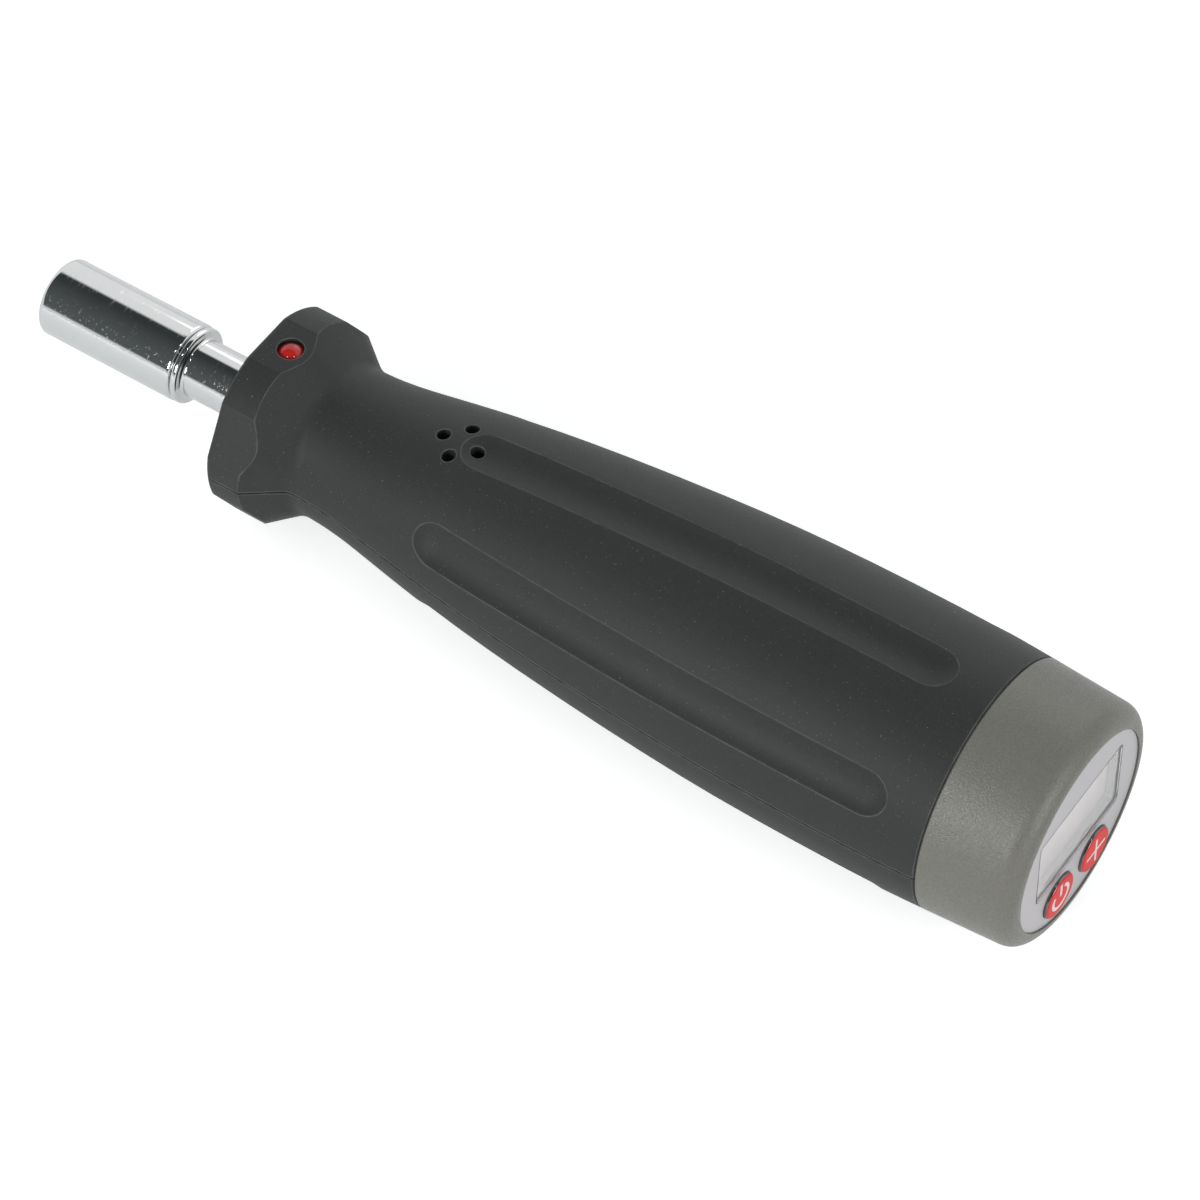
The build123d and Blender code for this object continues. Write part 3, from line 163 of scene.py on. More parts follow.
class ButtonSettings(bpy.types.PropertyGroup):
    colour: bpy.props.FloatVectorProperty(
        name="Colour", description="Colour of the buttons",
        subtype="COLOR", size=3, min=0, max=1, default=(0.8, 0.055, 0.05),
    )
    top_radius: bpy.props.FloatProperty(
        name="Top Radius", description="Radius of the red top inside its plated rim",
        subtype="DISTANCE", unit="LENGTH", min=0.001, max=0.004, default=3.6 * MM,
    )
    sign_size: bpy.props.FloatProperty(
        name="Sign Size", description="Width of the sign on each button",
        subtype="DISTANCE", unit="LENGTH", min=0.001, max=0.006, default=5.0 * MM,
    )
    sign_stroke: bpy.props.FloatProperty(
        name="Sign Stroke", description="Width of the signs' lines",
        subtype="DISTANCE", unit="LENGTH", min=0.0001, max=0.002, default=0.5 * MM,
    )


class HolderSettings(bpy.types.PropertyGroup):
    front: bpy.props.FloatProperty(
        name="Front", description="Place of the sleeve's front, along the tool from the cap's joint",
        subtype="DISTANCE", unit="LENGTH", default=-166.4 * MM,
    )
    sleeve_radius: bpy.props.FloatProperty(
        name="Sleeve Radius", description="Radius of the thick sleeve",
        subtype="DISTANCE", unit="LENGTH", min=0.004, max=0.01, default=6.35 * MM,
    )
    neck_radius: bpy.props.FloatProperty(
        name="Neck Radius", description="Radius of the neck that enters the nose",
        subtype="DISTANCE", unit="LENGTH", min=0.003, max=0.006, default=4.75 * MM,
    )
    hex_width: bpy.props.FloatProperty(
        name="Socket Width", description="Width of the bit socket across its flats",
        subtype="DISTANCE", unit="LENGTH", min=0.004, max=0.008, default=6.4 * MM,
    )


class StageSettings(bpy.types.PropertyGroup):
    azimuth: bpy.props.FloatProperty(
        name="Azimuth", description="Camera angle round the tool",
        subtype="ANGLE", unit="ROTATION", default=math.radians(35.174),
    )
    elevation: bpy.props.FloatProperty(
        name="Elevation", description="Camera angle above the tool",
        subtype="ANGLE", unit="ROTATION", default=math.radians(51.954),
    )
    roll: bpy.props.FloatProperty(
        name="Roll", description="Camera turn about its own line of sight",
        subtype="ANGLE", unit="ROTATION", default=math.radians(-1.143),
    )
    distance: bpy.props.FloatProperty(
        name="Distance", description="Camera distance from the middle of the tool",
        subtype="DISTANCE", unit="LENGTH", min=0.1, default=739.614 * MM,
    )
    lens: bpy.props.FloatProperty(
        name="Lens", description="Focal length of the camera",
        subtype="DISTANCE_CAMERA", min=10, default=152.149,
    )
    light: bpy.props.FloatProperty(
        name="Light", description="Strength of the soft lamps", min=0, default=1.0,
    )
    surround: bpy.props.FloatProperty(
        name="Surround", description="Light from the pale side of the surroundings",
        min=0, default=0.45,
    )
    shade: bpy.props.FloatProperty(
        name="Shade", description="Light from the dark side, above and behind the camera",
        min=0, default=0.5,
    )


# Building materials from nodes
def feed(tree, socket, value):
    """Links a source socket to an input, or sets the input's plain value."""
    if isinstance(value, bpy.types.NodeSocket):
        tree.links.new(value, socket)
    else:
        socket.default_value = value


def feed_inputs(tree, made, **values):
    """Feeds a node's inputs by name, or by number as i0; each value is a socket or a plain one."""
    for name, value in values.items():
        key = int(name[1:]) if name[0] == "i" and name[1:].isdigit() else name.replace("_", " ")
        feed(tree, made.inputs[key], value)


def node(tree, kind, place, settings=None, **values):
    """Adds a node, sets its own settings and feeds its inputs."""
    made = tree.nodes.new(kind)
    made.location = place
    for name, value in (settings or {}).items():
        setattr(made, name, value)
    feed_inputs(tree, made, **values)
    return made


def maths(tree, place, operation, *values, clamp=False):
    """The output of a math node whose inputs are sockets or numbers."""
    made = node(tree, "ShaderNodeMath", place, {"operation": operation, "use_clamp": clamp})
    for socket, value in zip(made.inputs, values):
        feed(tree, socket, value)
    return made.outputs[0]


def scale_value(tree, place, value, low, high, start=0.0, end=1.0, interpolation="LINEAR"):
    """Maps a value's run from start to end onto a run from low to high."""
    return node(
        tree, "ShaderNodeMapRange", place, {"interpolation_type": interpolation},
        i0=value, i1=start, i2=end, i3=low, i4=high,
    ).outputs[0]


def mix_colour(tree, place, mask, first, second):
    """Mixes two colours by a mask; each colour is a socket or a plain colour."""
    mixed = node(tree, "ShaderNodeMix", place, {"data_type": "RGBA"}, i0=mask)
    for socket, value in zip(mixed.inputs[6:8], (first, second)):
        feed(tree, socket, value if isinstance(value, bpy.types.NodeSocket) else (*value, 1.0))
    return mixed.outputs[2]


def varied(tree, place, mask, colour, dark, light):
    """A colour that runs with the mask from a darker to a lighter tint."""
    tints = [tuple(min(1.0, channel * factor) for channel in colour) for factor in (dark, light)]
    return mix_colour(tree, place, mask, *tints)


def local_place(tree, place):
    """Each point's place on the piece itself."""
    return node(tree, "ShaderNodeTexCoord", place).outputs["Object"]


# Effects that materials share
def group_shell(name, inputs, output, output_kind="NodeSocketFloat"):
    """An empty node group: its tree, what it is given and what it hands on."""
    tree = bpy.data.node_groups.new(name, "ShaderNodeTree")
    for label, value in inputs.items():
        socket = tree.interface.new_socket(label, in_out="INPUT", socket_type="NodeSocketFloat")
        socket.default_value = value
    tree.interface.new_socket(output, in_out="OUTPUT", socket_type=output_kind)
    given = node(tree, "NodeGroupInput", (-900, 0))
    result = node(tree, "NodeGroupOutput", (600, 0))
    return tree, given.outputs, result.inputs[output]


def fine_speckle_group():
    """Fine grain: noise as a value about 0.5."""
    tree, given, result = group_shell("Fine Speckle", {"Scale": 2000.0, "Contrast": 1.0}, "Value")
    noise = node(
        tree, "ShaderNodeTexNoise", (-600, 200), Detail=3.0, Roughness=0.7,
        Vector=local_place(tree, (-900, 260)), Scale=given["Scale"],
    )
    centred = maths(tree, (-350, 200), "SUBTRACT", noise.outputs["Fac"], 0.5)
    scaled = maths(tree, (-150, 200), "MULTIPLY", centred, given["Contrast"])
    feed(tree, result, maths(tree, (50, 200), "ADD", scaled, 0.5, clamp=True))
    return tree


def dust_group():
    """Tiny specks of uneven size, shape and strength, as a mask."""
    sizes = {"Scale": 600.0, "Size": 0.1, "Amount": 0.3}
    tree, given, result = group_shell("Dust Specks", sizes, "Mask")
    local = local_place(tree, (-1300, 260))
    ragged = node(tree, "ShaderNodeTexNoise", (-1100, 60), Vector=local, Scale=5000.0, Detail=1.0)
    moved = node(
        tree, "ShaderNodeVectorMath", (-900, 200), {"operation": "MULTIPLY_ADD"},
        i0=ragged.outputs["Color"], i1=[DUST_RAGGEDNESS] * 3, i2=local,
    )
    cells = node(
        tree, "ShaderNodeTexVoronoi", (-700, 200), {"feature": "F1"},
        Vector=moved.outputs[0], Scale=given["Scale"],
    )
    chance = node(tree, "ShaderNodeSeparateColor", (-500, 0), i0=cells.outputs["Color"]).outputs
    reach = maths(tree, (-350, 50), "MULTIPLY", chance[1], given["Size"])
    near = maths(tree, (-200, 200), "LESS_THAN", cells.outputs["Distance"], reach)
    chosen = maths(tree, (-200, 0), "LESS_THAN", chance[0], given["Amount"])
    both = maths(tree, (50, 100), "MULTIPLY", near, chosen)
    feed(tree, result, maths(tree, (250, 100), "MULTIPLY", both, chance[2]))
    return tree


def edge_wear_group():
    """Rubbed edges: where the surface turns within a small radius, uneven along the edge."""
    tree, given, result = group_shell("Edge Wear", {"Strength": 6.0, "Break Up": 900.0}, "Mask")
    rounded = node(tree, "ShaderNodeBevel", (-900, 300), {"samples": 8}, Radius=WEAR_RADIUS)
    flat = node(tree, "ShaderNodeNewGeometry", (-900, 100))
    turn = node(
        tree, "ShaderNodeVectorMath", (-650, 250), {"operation": "DOT_PRODUCT"},
        i0=rounded.outputs[0], i1=flat.outputs["Normal"],
    )
    lost = maths(tree, (-450, 250), "SUBTRACT", WEAR_THRESHOLD, turn.outputs["Value"])
    strong = maths(tree, (-250, 250), "MULTIPLY", lost, given["Strength"], clamp=True)
    noise = node(
        tree, "ShaderNodeTexNoise", (-650, -200), Detail=3.0,
        Vector=local_place(tree, (-900, -200)), Scale=given["Break Up"],
    )
    broken = scale_value(tree, (-400, -200), noise.outputs["Fac"], 0.35, 1.0, 0.3, 0.65)
    feed(tree, result, maths(tree, (0, 100), "MULTIPLY", strong, broken))
    return tree


def scratch_group():
    """Hairline scratches that run in three directions, as a mask."""
    tree, given, result = group_shell("Fine Scratches", {"Scale": 3000.0, "Amount": 0.3}, "Mask")
    local = local_place(tree, (-1100, 260))
    limit = scale_value(tree, (-700, -500), given["Amount"], 0.8, 0.6)
    marks = None
    for index, (x, y, z) in enumerate(SCRATCH_TURNS):
        height = 300 - 300 * index
        turned = node(
            tree, "ShaderNodeMapping", (-900, height), Vector=local,
            Location=(z, x, y), Rotation=(x, y, z), Scale=(1.0, SCRATCH_STRETCH, 1.0),
        )
        noise = node(
            tree, "ShaderNodeTexNoise", (-700, height), Detail=0.0,
            Vector=turned.outputs[0], Scale=given["Scale"],
        )
        line = maths(tree, (-450, height), "GREATER_THAN", noise.outputs["Fac"], limit)
        place = (-200 + 150 * index, height)
        marks = line if marks is None else maths(tree, place, "MAXIMUM", marks, line)
    feed(tree, result, marks)
    return tree


def soft_edge_group():
    """Normals that run smoothly over sharp edges, as on a soft moulding."""
    tree, given, result = group_shell(
        "Soft Edge", {"Radius": 0.4 * MM}, "Normal", "NodeSocketVector",
    )
    rounded = node(tree, "ShaderNodeBevel", (-300, 0), {"samples": 6}, Radius=given["Radius"])
    feed(tree, result, rounded.outputs[0])
    return tree


GROUP_MAKERS = {
    "Fine Speckle": fine_speckle_group,
    "Dust Specks": dust_group,
    "Edge Wear": edge_wear_group,
    "Fine Scratches": scratch_group,
    "Soft Edge": soft_edge_group,
}


def effect(tree, name, place, **values):
    """The output of a shared effect, placed in a material with that material's own values."""
    group = bpy.data.node_groups.get(name) or GROUP_MAKERS[name]()
    return node(tree, "ShaderNodeGroup", place, {"node_tree": group}, **values).outputs[0]


# Materials
def blank_material(name):
    """A new material, its node tree and its shader."""
    material = bpy.data.materials.new(name)
    material.use_nodes = True
    tree = material.node_tree
    return material, tree, tree.nodes["Principled BSDF"]


def bump(tree, shader, height, distance, strength, edge=0.0):
    """Raises the surface by a height; an edge radius softens the sharp edges as well."""
    made = node(
        tree, "ShaderNodeBump", (-200, -300), Strength=strength, Distance=distance, Height=height,
    )
    feed_inputs(tree, shader, Normal=made.outputs[0])
    if edge:
        feed(tree, made.inputs["Normal"], effect(tree, "Soft Edge", (-450, -450), Radius=edge))


def soft_touch_material(settings):
    """Soft-touch charcoal: fine grain, pale dust and lint, rubbed edges."""
    material, tree, shader = blank_material("soft touch charcoal")
    speckle = effect(tree, "Fine Speckle", (-1100, 400), Scale=4200.0, Contrast=3.2)
    patches = effect(tree, "Fine Speckle", (-1100, 200), Scale=60.0, Contrast=1.6)
    grain = varied(tree, (-850, 400), speckle, settings.colour, 0.6, 1.5)
    cloud = varied(tree, (-850, 200), patches, settings.colour, 0.8, 1.2)
    base = mix_colour(tree, (-650, 300), 0.4, grain, cloud)
    wear = effect(tree, "Edge Wear", (-850, 0), Strength=30.0, Break_Up=500.0)
    rubbed = maths(tree, (-650, 0), "MULTIPLY", wear, settings.wear)
    marked = mix_colour(tree, (-450, 300), rubbed, base, RUBBED_COLOUR)
    for index, (scale, size, amount, tint) in enumerate(DUST_LAYERS):
        place = (-650, -200 - 200 * index)
        dust = effect(tree, "Dust Specks", place, Scale=scale, Size=size, Amount=amount)
        marked = mix_colour(tree, (-250 + 200 * index, 300), dust, marked, (tint, tint, tint))
    least = settings.roughness - 0.08
    rough = scale_value(tree, (-200, 0), speckle, least, least + 0.16)
    feed_inputs(
        tree, shader, Base_Color=marked, Roughness=rough,
        Specular_IOR_Level=0.4, Sheen_Weight=0.08, Sheen_Roughness=0.4,
    )
    bump(tree, shader, speckle, 0.02 * MM, 0.5, edge=0.45 * MM)
    return material


def cap_material(settings):
    """Satin warm grey with a fine, slightly sparkling spark-eroded texture."""
    material, tree, shader = blank_material("satin cap grey")
    speckle = effect(tree, "Fine Speckle", (-900, 300), Scale=1900.0, Contrast=1.6)
    patches = effect(tree, "Fine Speckle", (-900, 100), Scale=80.0, Contrast=1.0)
    grain = varied(tree, (-650, 300), speckle, settings.colour, 0.84, 1.14)
    cloud = varied(tree, (-450, 250), patches, settings.colour, 0.95, 1.06)
    base = mix_colour(tree, (-250, 280), 0.35, grain, cloud)
    scratches = effect(tree, "Fine Scratches", (-650, 0), Scale=1800.0, Amount=0.02)
    faint = maths(tree, (-450, 0), "MULTIPLY", scratches, 0.12)
    marked = mix_colour(tree, (-50, 250), faint, base, (0.3, 0.3, 0.28))
    spark = effect(tree, "Fine Speckle", (-900, -200), Scale=3000.0, Contrast=2.4)
    rough = scale_value(tree, (-200, 0), spark, 0.2, 0.36)
    feed_inputs(tree, shader, Base_Color=marked, Roughness=rough)
    bump(tree, shader, spark, 0.05 * MM, 0.8)
    return material


def face_material(settings):
    """Silver label stock with a very fine tooth."""
    material, tree, shader = blank_material("silver face")
    speckle = effect(tree, "Fine Speckle", (-900, 300), Scale=3000.0, Contrast=1.2)
    grain = varied(tree, (-650, 300), speckle, settings.face_colour, 0.94, 1.05)
    rough = scale_value(tree, (-200, 0), speckle, 0.3, 0.45)
    feed_inputs(tree, shader, Base_Color=grain, Roughness=rough)
    bump(tree, shader, speckle, 0.01 * MM, 0.4)
    return material


def chrome_material():
    """Polished chrome with hairline scratches and small specks."""
    material, tree, shader = blank_material("polished chrome")
    scratches = effect(tree, "Fine Scratches", (-900, 100), Scale=2600.0, Amount=0.2)
    specks = effect(tree, "Dust Specks", (-900, -100), Scale=700.0, Size=0.12, Amount=0.22)
    patches = effect(tree, "Fine Speckle", (-900, 300), Scale=160.0, Contrast=1.0)
    base = mix_colour(tree, (-500, 300), patches, (0.64, 0.645, 0.65), (0.7, 0.705, 0.71))
    marked = mix_colour(tree, (-300, 250), specks, base, (0.3, 0.3, 0.3))
    worn = maths(tree, (-500, 0), "MAXIMUM", scratches, specks)
    rough = scale_value(tree, (-200, 0), worn, 0.07, 0.2)
    feed_inputs(tree, shader, Base_Color=marked, Roughness=rough, Metallic=1.0)
    bump(tree, shader, patches, 0.004 * MM, 0.2, edge=0.12 * MM)
    return material


def metal_material(name, colour, roughness):
    """Plain machined or plated metal with fine grain and a few scratches."""
    material, tree, shader = blank_material(name)
    speckle = effect(tree, "Fine Speckle", (-900, 300), Scale=900.0, Contrast=1.5)
    scratches = effect(tree, "Fine Scratches", (-900, 0), Scale=1500.0, Amount=0.5)
    grain = varied(tree, (-650, 300), speckle, colour, 0.85, 1.1)
    rough = scale_value(tree, (-200, 0), scratches, roughness, roughness + 0.2)
    feed_inputs(tree, shader, Base_Color=grain, Roughness=rough, Metallic=1.0)
    bump(tree, shader, speckle, 0.01 * MM, 0.4)
    return material


def plastic_material(name, colour, roughness, texture=0.02 * MM):
    """Moulded plastic with slight colour variation and a texture of the given depth."""
    material, tree, shader = blank_material(name)
    speckle = effect(tree, "Fine Speckle", (-900, 300), Scale=1500.0, Contrast=1.2)
    grain = varied(tree, (-650, 300), speckle, colour, 0.9, 1.1)
    rough = scale_value(tree, (-200, 0), speckle, roughness - 0.05, roughness + 0.05)
    feed_inputs(tree, shader, Base_Color=grain, Roughness=rough)
    bump(tree, shader, speckle, texture, 0.5)
    return material


def window_material():
    """Clear moulded window with a faint haze."""
    material, tree, shader = blank_material("clear window")
    haze = effect(tree, "Fine Speckle", (-900, 0), Scale=120.0, Contrast=1.0)
    rough = scale_value(tree, (-200, 0), haze, 0.0, 0.04)
    feed_inputs(
        tree, shader, Base_Color=(0.97, 0.96, 0.96, 1.0), Roughness=rough,
        Transmission_Weight=1.0, IOR=1.49,
    )
    return material


def lcd_material(low, high):
    """Display glass: a pale active area inside a grey-green margin."""
    material, tree, shader = blank_material("display glass")
    speckle = effect(tree, "Fine Speckle", (-900, 300), Scale=2500.0, Contrast=1.0)
    active = mix_colour(tree, (-650, 300), speckle, (0.51, 0.45, 0.46), (0.56, 0.5, 0.51))
    parts = node(tree, "ShaderNodeSeparateXYZ", (-1100, 0), i0=local_place(tree, (-1300, 0)))
    within = []
    for axis, margin in LCD_MARGINS:
        middle = (low[axis] + high[axis]) / 2
        reach = (high[axis] - low[axis]) / 2 - margin
        off = maths(tree, (-900, -200 * axis), "SUBTRACT", parts.outputs[axis], middle)
        size = maths(tree, (-750, -200 * axis), "ABSOLUTE", off)
        within.append(maths(tree, (-600, -200 * axis), "LESS_THAN", size, reach))
    inside = maths(tree, (-450, -200), "MULTIPLY", *within)
    glass = mix_colour(tree, (-300, 300), inside, (0.41, 0.43, 0.42), active)
    rough = scale_value(tree, (-200, 0), speckle, 0.3, 0.36)
    feed_inputs(tree, shader, Base_Color=glass, Roughness=rough)
    return material


def lamp_material():
    """Deep red lens of the indicator lamp, with painted shade that darkens it towards its rim."""
    material, tree, shader = blank_material("red lamp lens")
    speckle = effect(tree, "Fine Speckle", (-900, 300), Scale=300.0, Contrast=1.0)
    glow = mix_colour(tree, (-650, 300), speckle, (0.42, 0.012, 0.01), (0.55, 0.025, 0.02))
    # Painted shade: the lens's red turns dark where its surface turns away from the view
    facing = node(tree, "ShaderNodeLayerWeight", (-900, 600), Blend=0.3)
    rim = scale_value(tree, (-650, 600), facing.outputs["Facing"], -0.6, 1.9)
    deep = mix_colour(tree, (-400, 400), rim, glow, (0.02, 0.004, 0.008))
    rough = scale_value(tree, (-200, 0), speckle, 0.04, 0.1)
    feed_inputs(tree, shader, Base_Color=deep, Roughness=rough)
    return material


def button_material(settings, name, middle):
    """A red top in a plated rim; the middle is the button's own axis."""
    material, tree, shader = blank_material(name)
    speckle = effect(tree, "Fine Speckle", (-900, 500), Scale=700.0, Contrast=1.0)
    grain = varied(tree, (-650, 500), speckle, settings.colour, 0.93, 1.06)
    offset = node(
        tree, "ShaderNodeVectorMath", (-1100, 0), {"operation": "SUBTRACT"},
        i0=local_place(tree, (-1300, 0)), i1=middle,
    )
    across = node(
        tree, "ShaderNodeVectorMath", (-900, 0), {"operation": "MULTIPLY"},
        i0=offset.outputs[0], i1=(0.0, 1.0, 1.0),
    )
    radius = node(
        tree, "ShaderNodeVectorMath", (-700, 0), {"operation": "LENGTH"}, i0=across.outputs[0],
    )
    edge = settings.top_radius
    rim = scale_value(tree, (-500, 0), radius.outputs["Value"], 0.0, 1.0, edge, edge + RIM_BLEND)
    colour = mix_colour(tree, (-300, 400), rim, grain, (0.2, 0.19, 0.2))
    rough = scale_value(tree, (-300, 100), rim, 0.34, 0.16)
    feed_inputs(
        tree, shader, Base_Color=colour, Roughness=rough, Metallic=rim, Specular_IOR_Level=0.06,
    )
    bump(tree, shader, speckle, 0.008 * MM, 0.4)
    return material


def assign(material, *names):
    """Gives CAD nodes their finish."""
    for name in names:
        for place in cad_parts[name].material_slots:
            place.material = material


# Building pieces
def add_object(name, data):
    """Puts a new object with the given data in the scene."""
    made = bpy.data.objects.new(name, data)
    bpy.context.scene.collection.objects.link(made)
    return made


def add_piece(name, mesh, body, material):
    """A visible piece that rides on a body and has a slot's finish."""
    piece = add_object(name, mesh)
    mesh.materials.append(material)
    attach(piece, body)
    return piece


def mesh_from(name, vertices, faces):
    mesh = bpy.data.meshes.new(name)
    mesh.from_pydata(vertices, [], faces)
    mesh.update()
    return mesh


def rounded_loop(width, height, corner, steps=6):
    """Points (across, up) round a rectangle with rounded corners."""
    points = []
    for index, (y, z) in enumerate(((1, 1), (-1, 1), (-1, -1), (1, -1))):
        for step in range(steps + 1):
            angle = math.radians(90 * index + 90 * step / steps)
            points.append((
                y * (width / 2 - corner) + corner * math.cos(angle),
                z * (height / 2 - corner) + corner * math.sin(angle),
            ))
    return points


def frame_mesh(name, middle, levels, outer, inner):
    """A flat frame between two loops of (across, up) points and two levels along the tool."""
    count = len(outer)
    low, high = levels
    vertices = []
    for level, loop in ((low, outer), (high, outer), (high, inner), (low, inner)):
        vertices += [(level, middle.y + y, middle.z + z) for y, z in loop]
    faces = []
    for ring in range(4):
        here, there = ring * count, (ring + 1) % 4 * count
        for step in range(count):
            after = (step + 1) % count
            faces.append((here + step, here + after, there + after, there + step))
    return mesh_from(name, vertices, faces)


def quarter(x, r, radius, start, steps=5):
    """Points (along, out) of a quarter round, from a start angle in degrees towards the rear."""
    turns = [math.radians(start - 90 * step / steps) for step in range(steps + 1)]
    return [(x + radius * math.cos(turn), r + radius * math.sin(turn)) for turn in turns]


def printed_line(points, width, thickness):
    """The vertices and faces of a flat printed line through (across, up) points."""
    half = width / 2
    count = len(points)
    left, right = [], []
    for index, (y, z) in enumerate(points):
        before, after = points[max(index - 1, 0)], points[min(index + 1, count - 1)]
        along = Vector((after[0] - before[0], after[1] - before[1])).normalized()
        side = Vector((-along.y, along.x)) * half
        left.append((y + side.x, z + side.y))
        right.append((y - side.x, z - side.y))
    vertices = [(level, y, z) for level in (0.0, thickness) for y, z in left + right]
    top = 2 * count
    faces = []
    for a in range(count - 1):
        b, c, d = a + 1, count + a + 1, count + a
        faces += [
            (a + top, d + top, c + top, b + top), (a, b, c, d),
            (a, a + top, b + top, b), (d, c, c + top, d + top),
        ]
    faces.append((0, count, count + top, top))
    faces.append((count - 1, count - 1 + top, 2 * count - 1 + top, 2 * count - 1))
    return vertices, faces


def joined(*parts):
    """One list of vertices and one of faces for several parts."""
    vertices, faces = [], []
    for more_vertices, more_faces in parts:
        start = len(vertices)
        vertices += more_vertices
        faces += [tuple(index + start for index in face) for face in more_faces]
    return vertices, faces


# Operators: one for each group of like pieces
class SCREWDRIVER_OT_handle(bpy.types.Operator):
    """Finishes the two handle shells and the battery door"""
    bl_idname = "screwdriver.handle"
    bl_label = "Handle"

    def execute(self, context):
        assign(soft_touch_material(context.scene.screwdriver_handle),
               "handle_shell_upper", "handle_shell_lower", "battery_door")
        return {"FINISHED"}


class SCREWDRIVER_OT_cap(bpy.types.Operator):
    """Finishes the end cap and its face plate"""
    bl_idname = "screwdriver.cap"
    bl_label = "End Cap"

    def execute(self, context):
        settings = context.scene.screwdriver_cap
        assign(cap_material(settings), "end_cap")
        assign(face_material(settings), "face_plate")
        return {"FINISHED"}


class SCREWDRIVER_OT_display(bpy.types.Operator):
    """Finishes the display's parts and makes the rim and the printed outline of its opening"""
    bl_idname = "screwdriver.display"
    bl_label = "Display"

    def execute(self, context):
        assign(window_material(), "display_window")
        assign(lcd_material(*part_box("lcd_panel")), "lcd_panel")
        assign(plastic_material("black plastic", (0.012, 0.012, 0.013), 0.45), "lcd_frame")
        assign(plastic_material("conductive rubber", (0.09, 0.09, 0.1), 0.6), "zebra_strips")
        window_low, window_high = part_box("display_window")
        middle = (window_low + window_high) / 2
        settings = context.scene.screwdriver_cap
        self.make_bezel(settings, middle, window_low.x)
        self.make_outline(settings, middle)
        return {"FINISHED"}

    def make_bezel(self, settings, middle, window_rear):
        """The moulded rim that lines the opening between the window and the display glass."""
        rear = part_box("lcd_panel")[1].x + BEZEL_REAR_GAP
        front = window_rear - BEZEL_FRONT_GAP
        width, height = settings.window_width - BEZEL_PLAY, settings.window_height - BEZEL_PLAY
        walls = 2 * settings.bezel
        mesh = frame_mesh(
            "window_bezel", middle, (rear, front),
            rounded_loop(width, height, BEZEL_CORNER),
            rounded_loop(width - walls, height - walls, BEZEL_INNER_CORNER),
        )
        finish = plastic_material("bezel grey", (0.5, 0.52, 0.51), 0.45, 0.004 * MM)
        add_piece("window_bezel", mesh, "handle", finish)

    def make_outline(self, settings, middle):
        """The dark line printed on the face round the opening."""
        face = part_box("face_plate")[1].x
        width, height, line = settings.window_width, settings.window_height, settings.outline
        mesh = frame_mesh(
            "window_outline", middle, (face - OUTLINE_SUNK, face + OUTLINE_PROUD),
            rounded_loop(width + 2 * line, height + 2 * line, WINDOW_CORNER + line),
            rounded_loop(width, height, WINDOW_CORNER),
        )
        finish = plastic_material("outline ink", (0.09, 0.08, 0.09), 0.5, PRINT_TEXTURE)
        add_piece("window_outline", mesh, "handle", finish)


class SCREWDRIVER_OT_buttons(bpy.types.Operator):
    """Finishes the buttons and their switches and prints the buttons' signs"""
    bl_idname = "screwdriver.buttons"
    bl_label = "Buttons"

    def execute(self, context):
        settings = context.scene.screwdriver_buttons
        for name in ("power_button", "plus_button"):
            low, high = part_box(name)
            finish = button_material(settings, name.replace("_", " ") + " finish", (low + high) / 2)
            assign(finish, name)
        assign(bpy.data.materials["black plastic"],
               "power_switch_plunger", "plus_switch_plunger", "tact_switches")
        ink = plastic_material("sign ink", (0.92, 0.76, 0.79), 0.4, PRINT_TEXTURE)
        for name, target, body, (vertices, faces) in (
            ("power_sign", "power_button", "power_button_body", self.power_shape(settings)),
            ("plus_sign", "plus_button", "plus_button_body", self.plus_shape(settings)),
        ):
            low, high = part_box(target)
            middle = (low + high) / 2
            placed = [(high.x + x, middle.y + y, middle.z + z) for x, y, z in vertices]
            add_piece(name, mesh_from(name, placed, faces), body, ink)
        return {"FINISHED"}

    def power_shape(self, settings):
        """An open ring with a bar in its gap."""
        half, stroke = settings.sign_size / 2, settings.sign_stroke
        radius = half * 0.82
        start, sweep, steps = 28, 280, 40
        ring = [
            (radius * math.sin(angle), radius * math.cos(angle))
            for angle in (math.radians(start + sweep * step / steps) for step in range(steps + 1))
        ]
        bar = [(0.0, half * 0.1), (0.0, half * 1.15)]
        return joined(
            printed_line(ring, stroke * 1.25, SIGN_THICKNESS),
            printed_line(bar, stroke * 1.1, SIGN_THICKNESS * OVERPRINT),
        )

    def plus_shape(self, settings):
        """Two crossed bars."""
        half, stroke = settings.sign_size / 2, settings.sign_stroke
        return joined(
            printed_line([(-half, 0.0), (half, 0.0)], stroke, SIGN_THICKNESS),
            printed_line([(0.0, -half), (0.0, half)], stroke, SIGN_THICKNESS * OVERPRINT),
        )


class SCREWDRIVER_OT_lamp(bpy.types.Operator):
    """Finishes the indicator lamp"""
    bl_idname = "screwdriver.lamp"
    bl_label = "Indicator Lamp"

    def execute(self, context):
        assign(lamp_material(), "indicator_led")
        return {"FINISHED"}


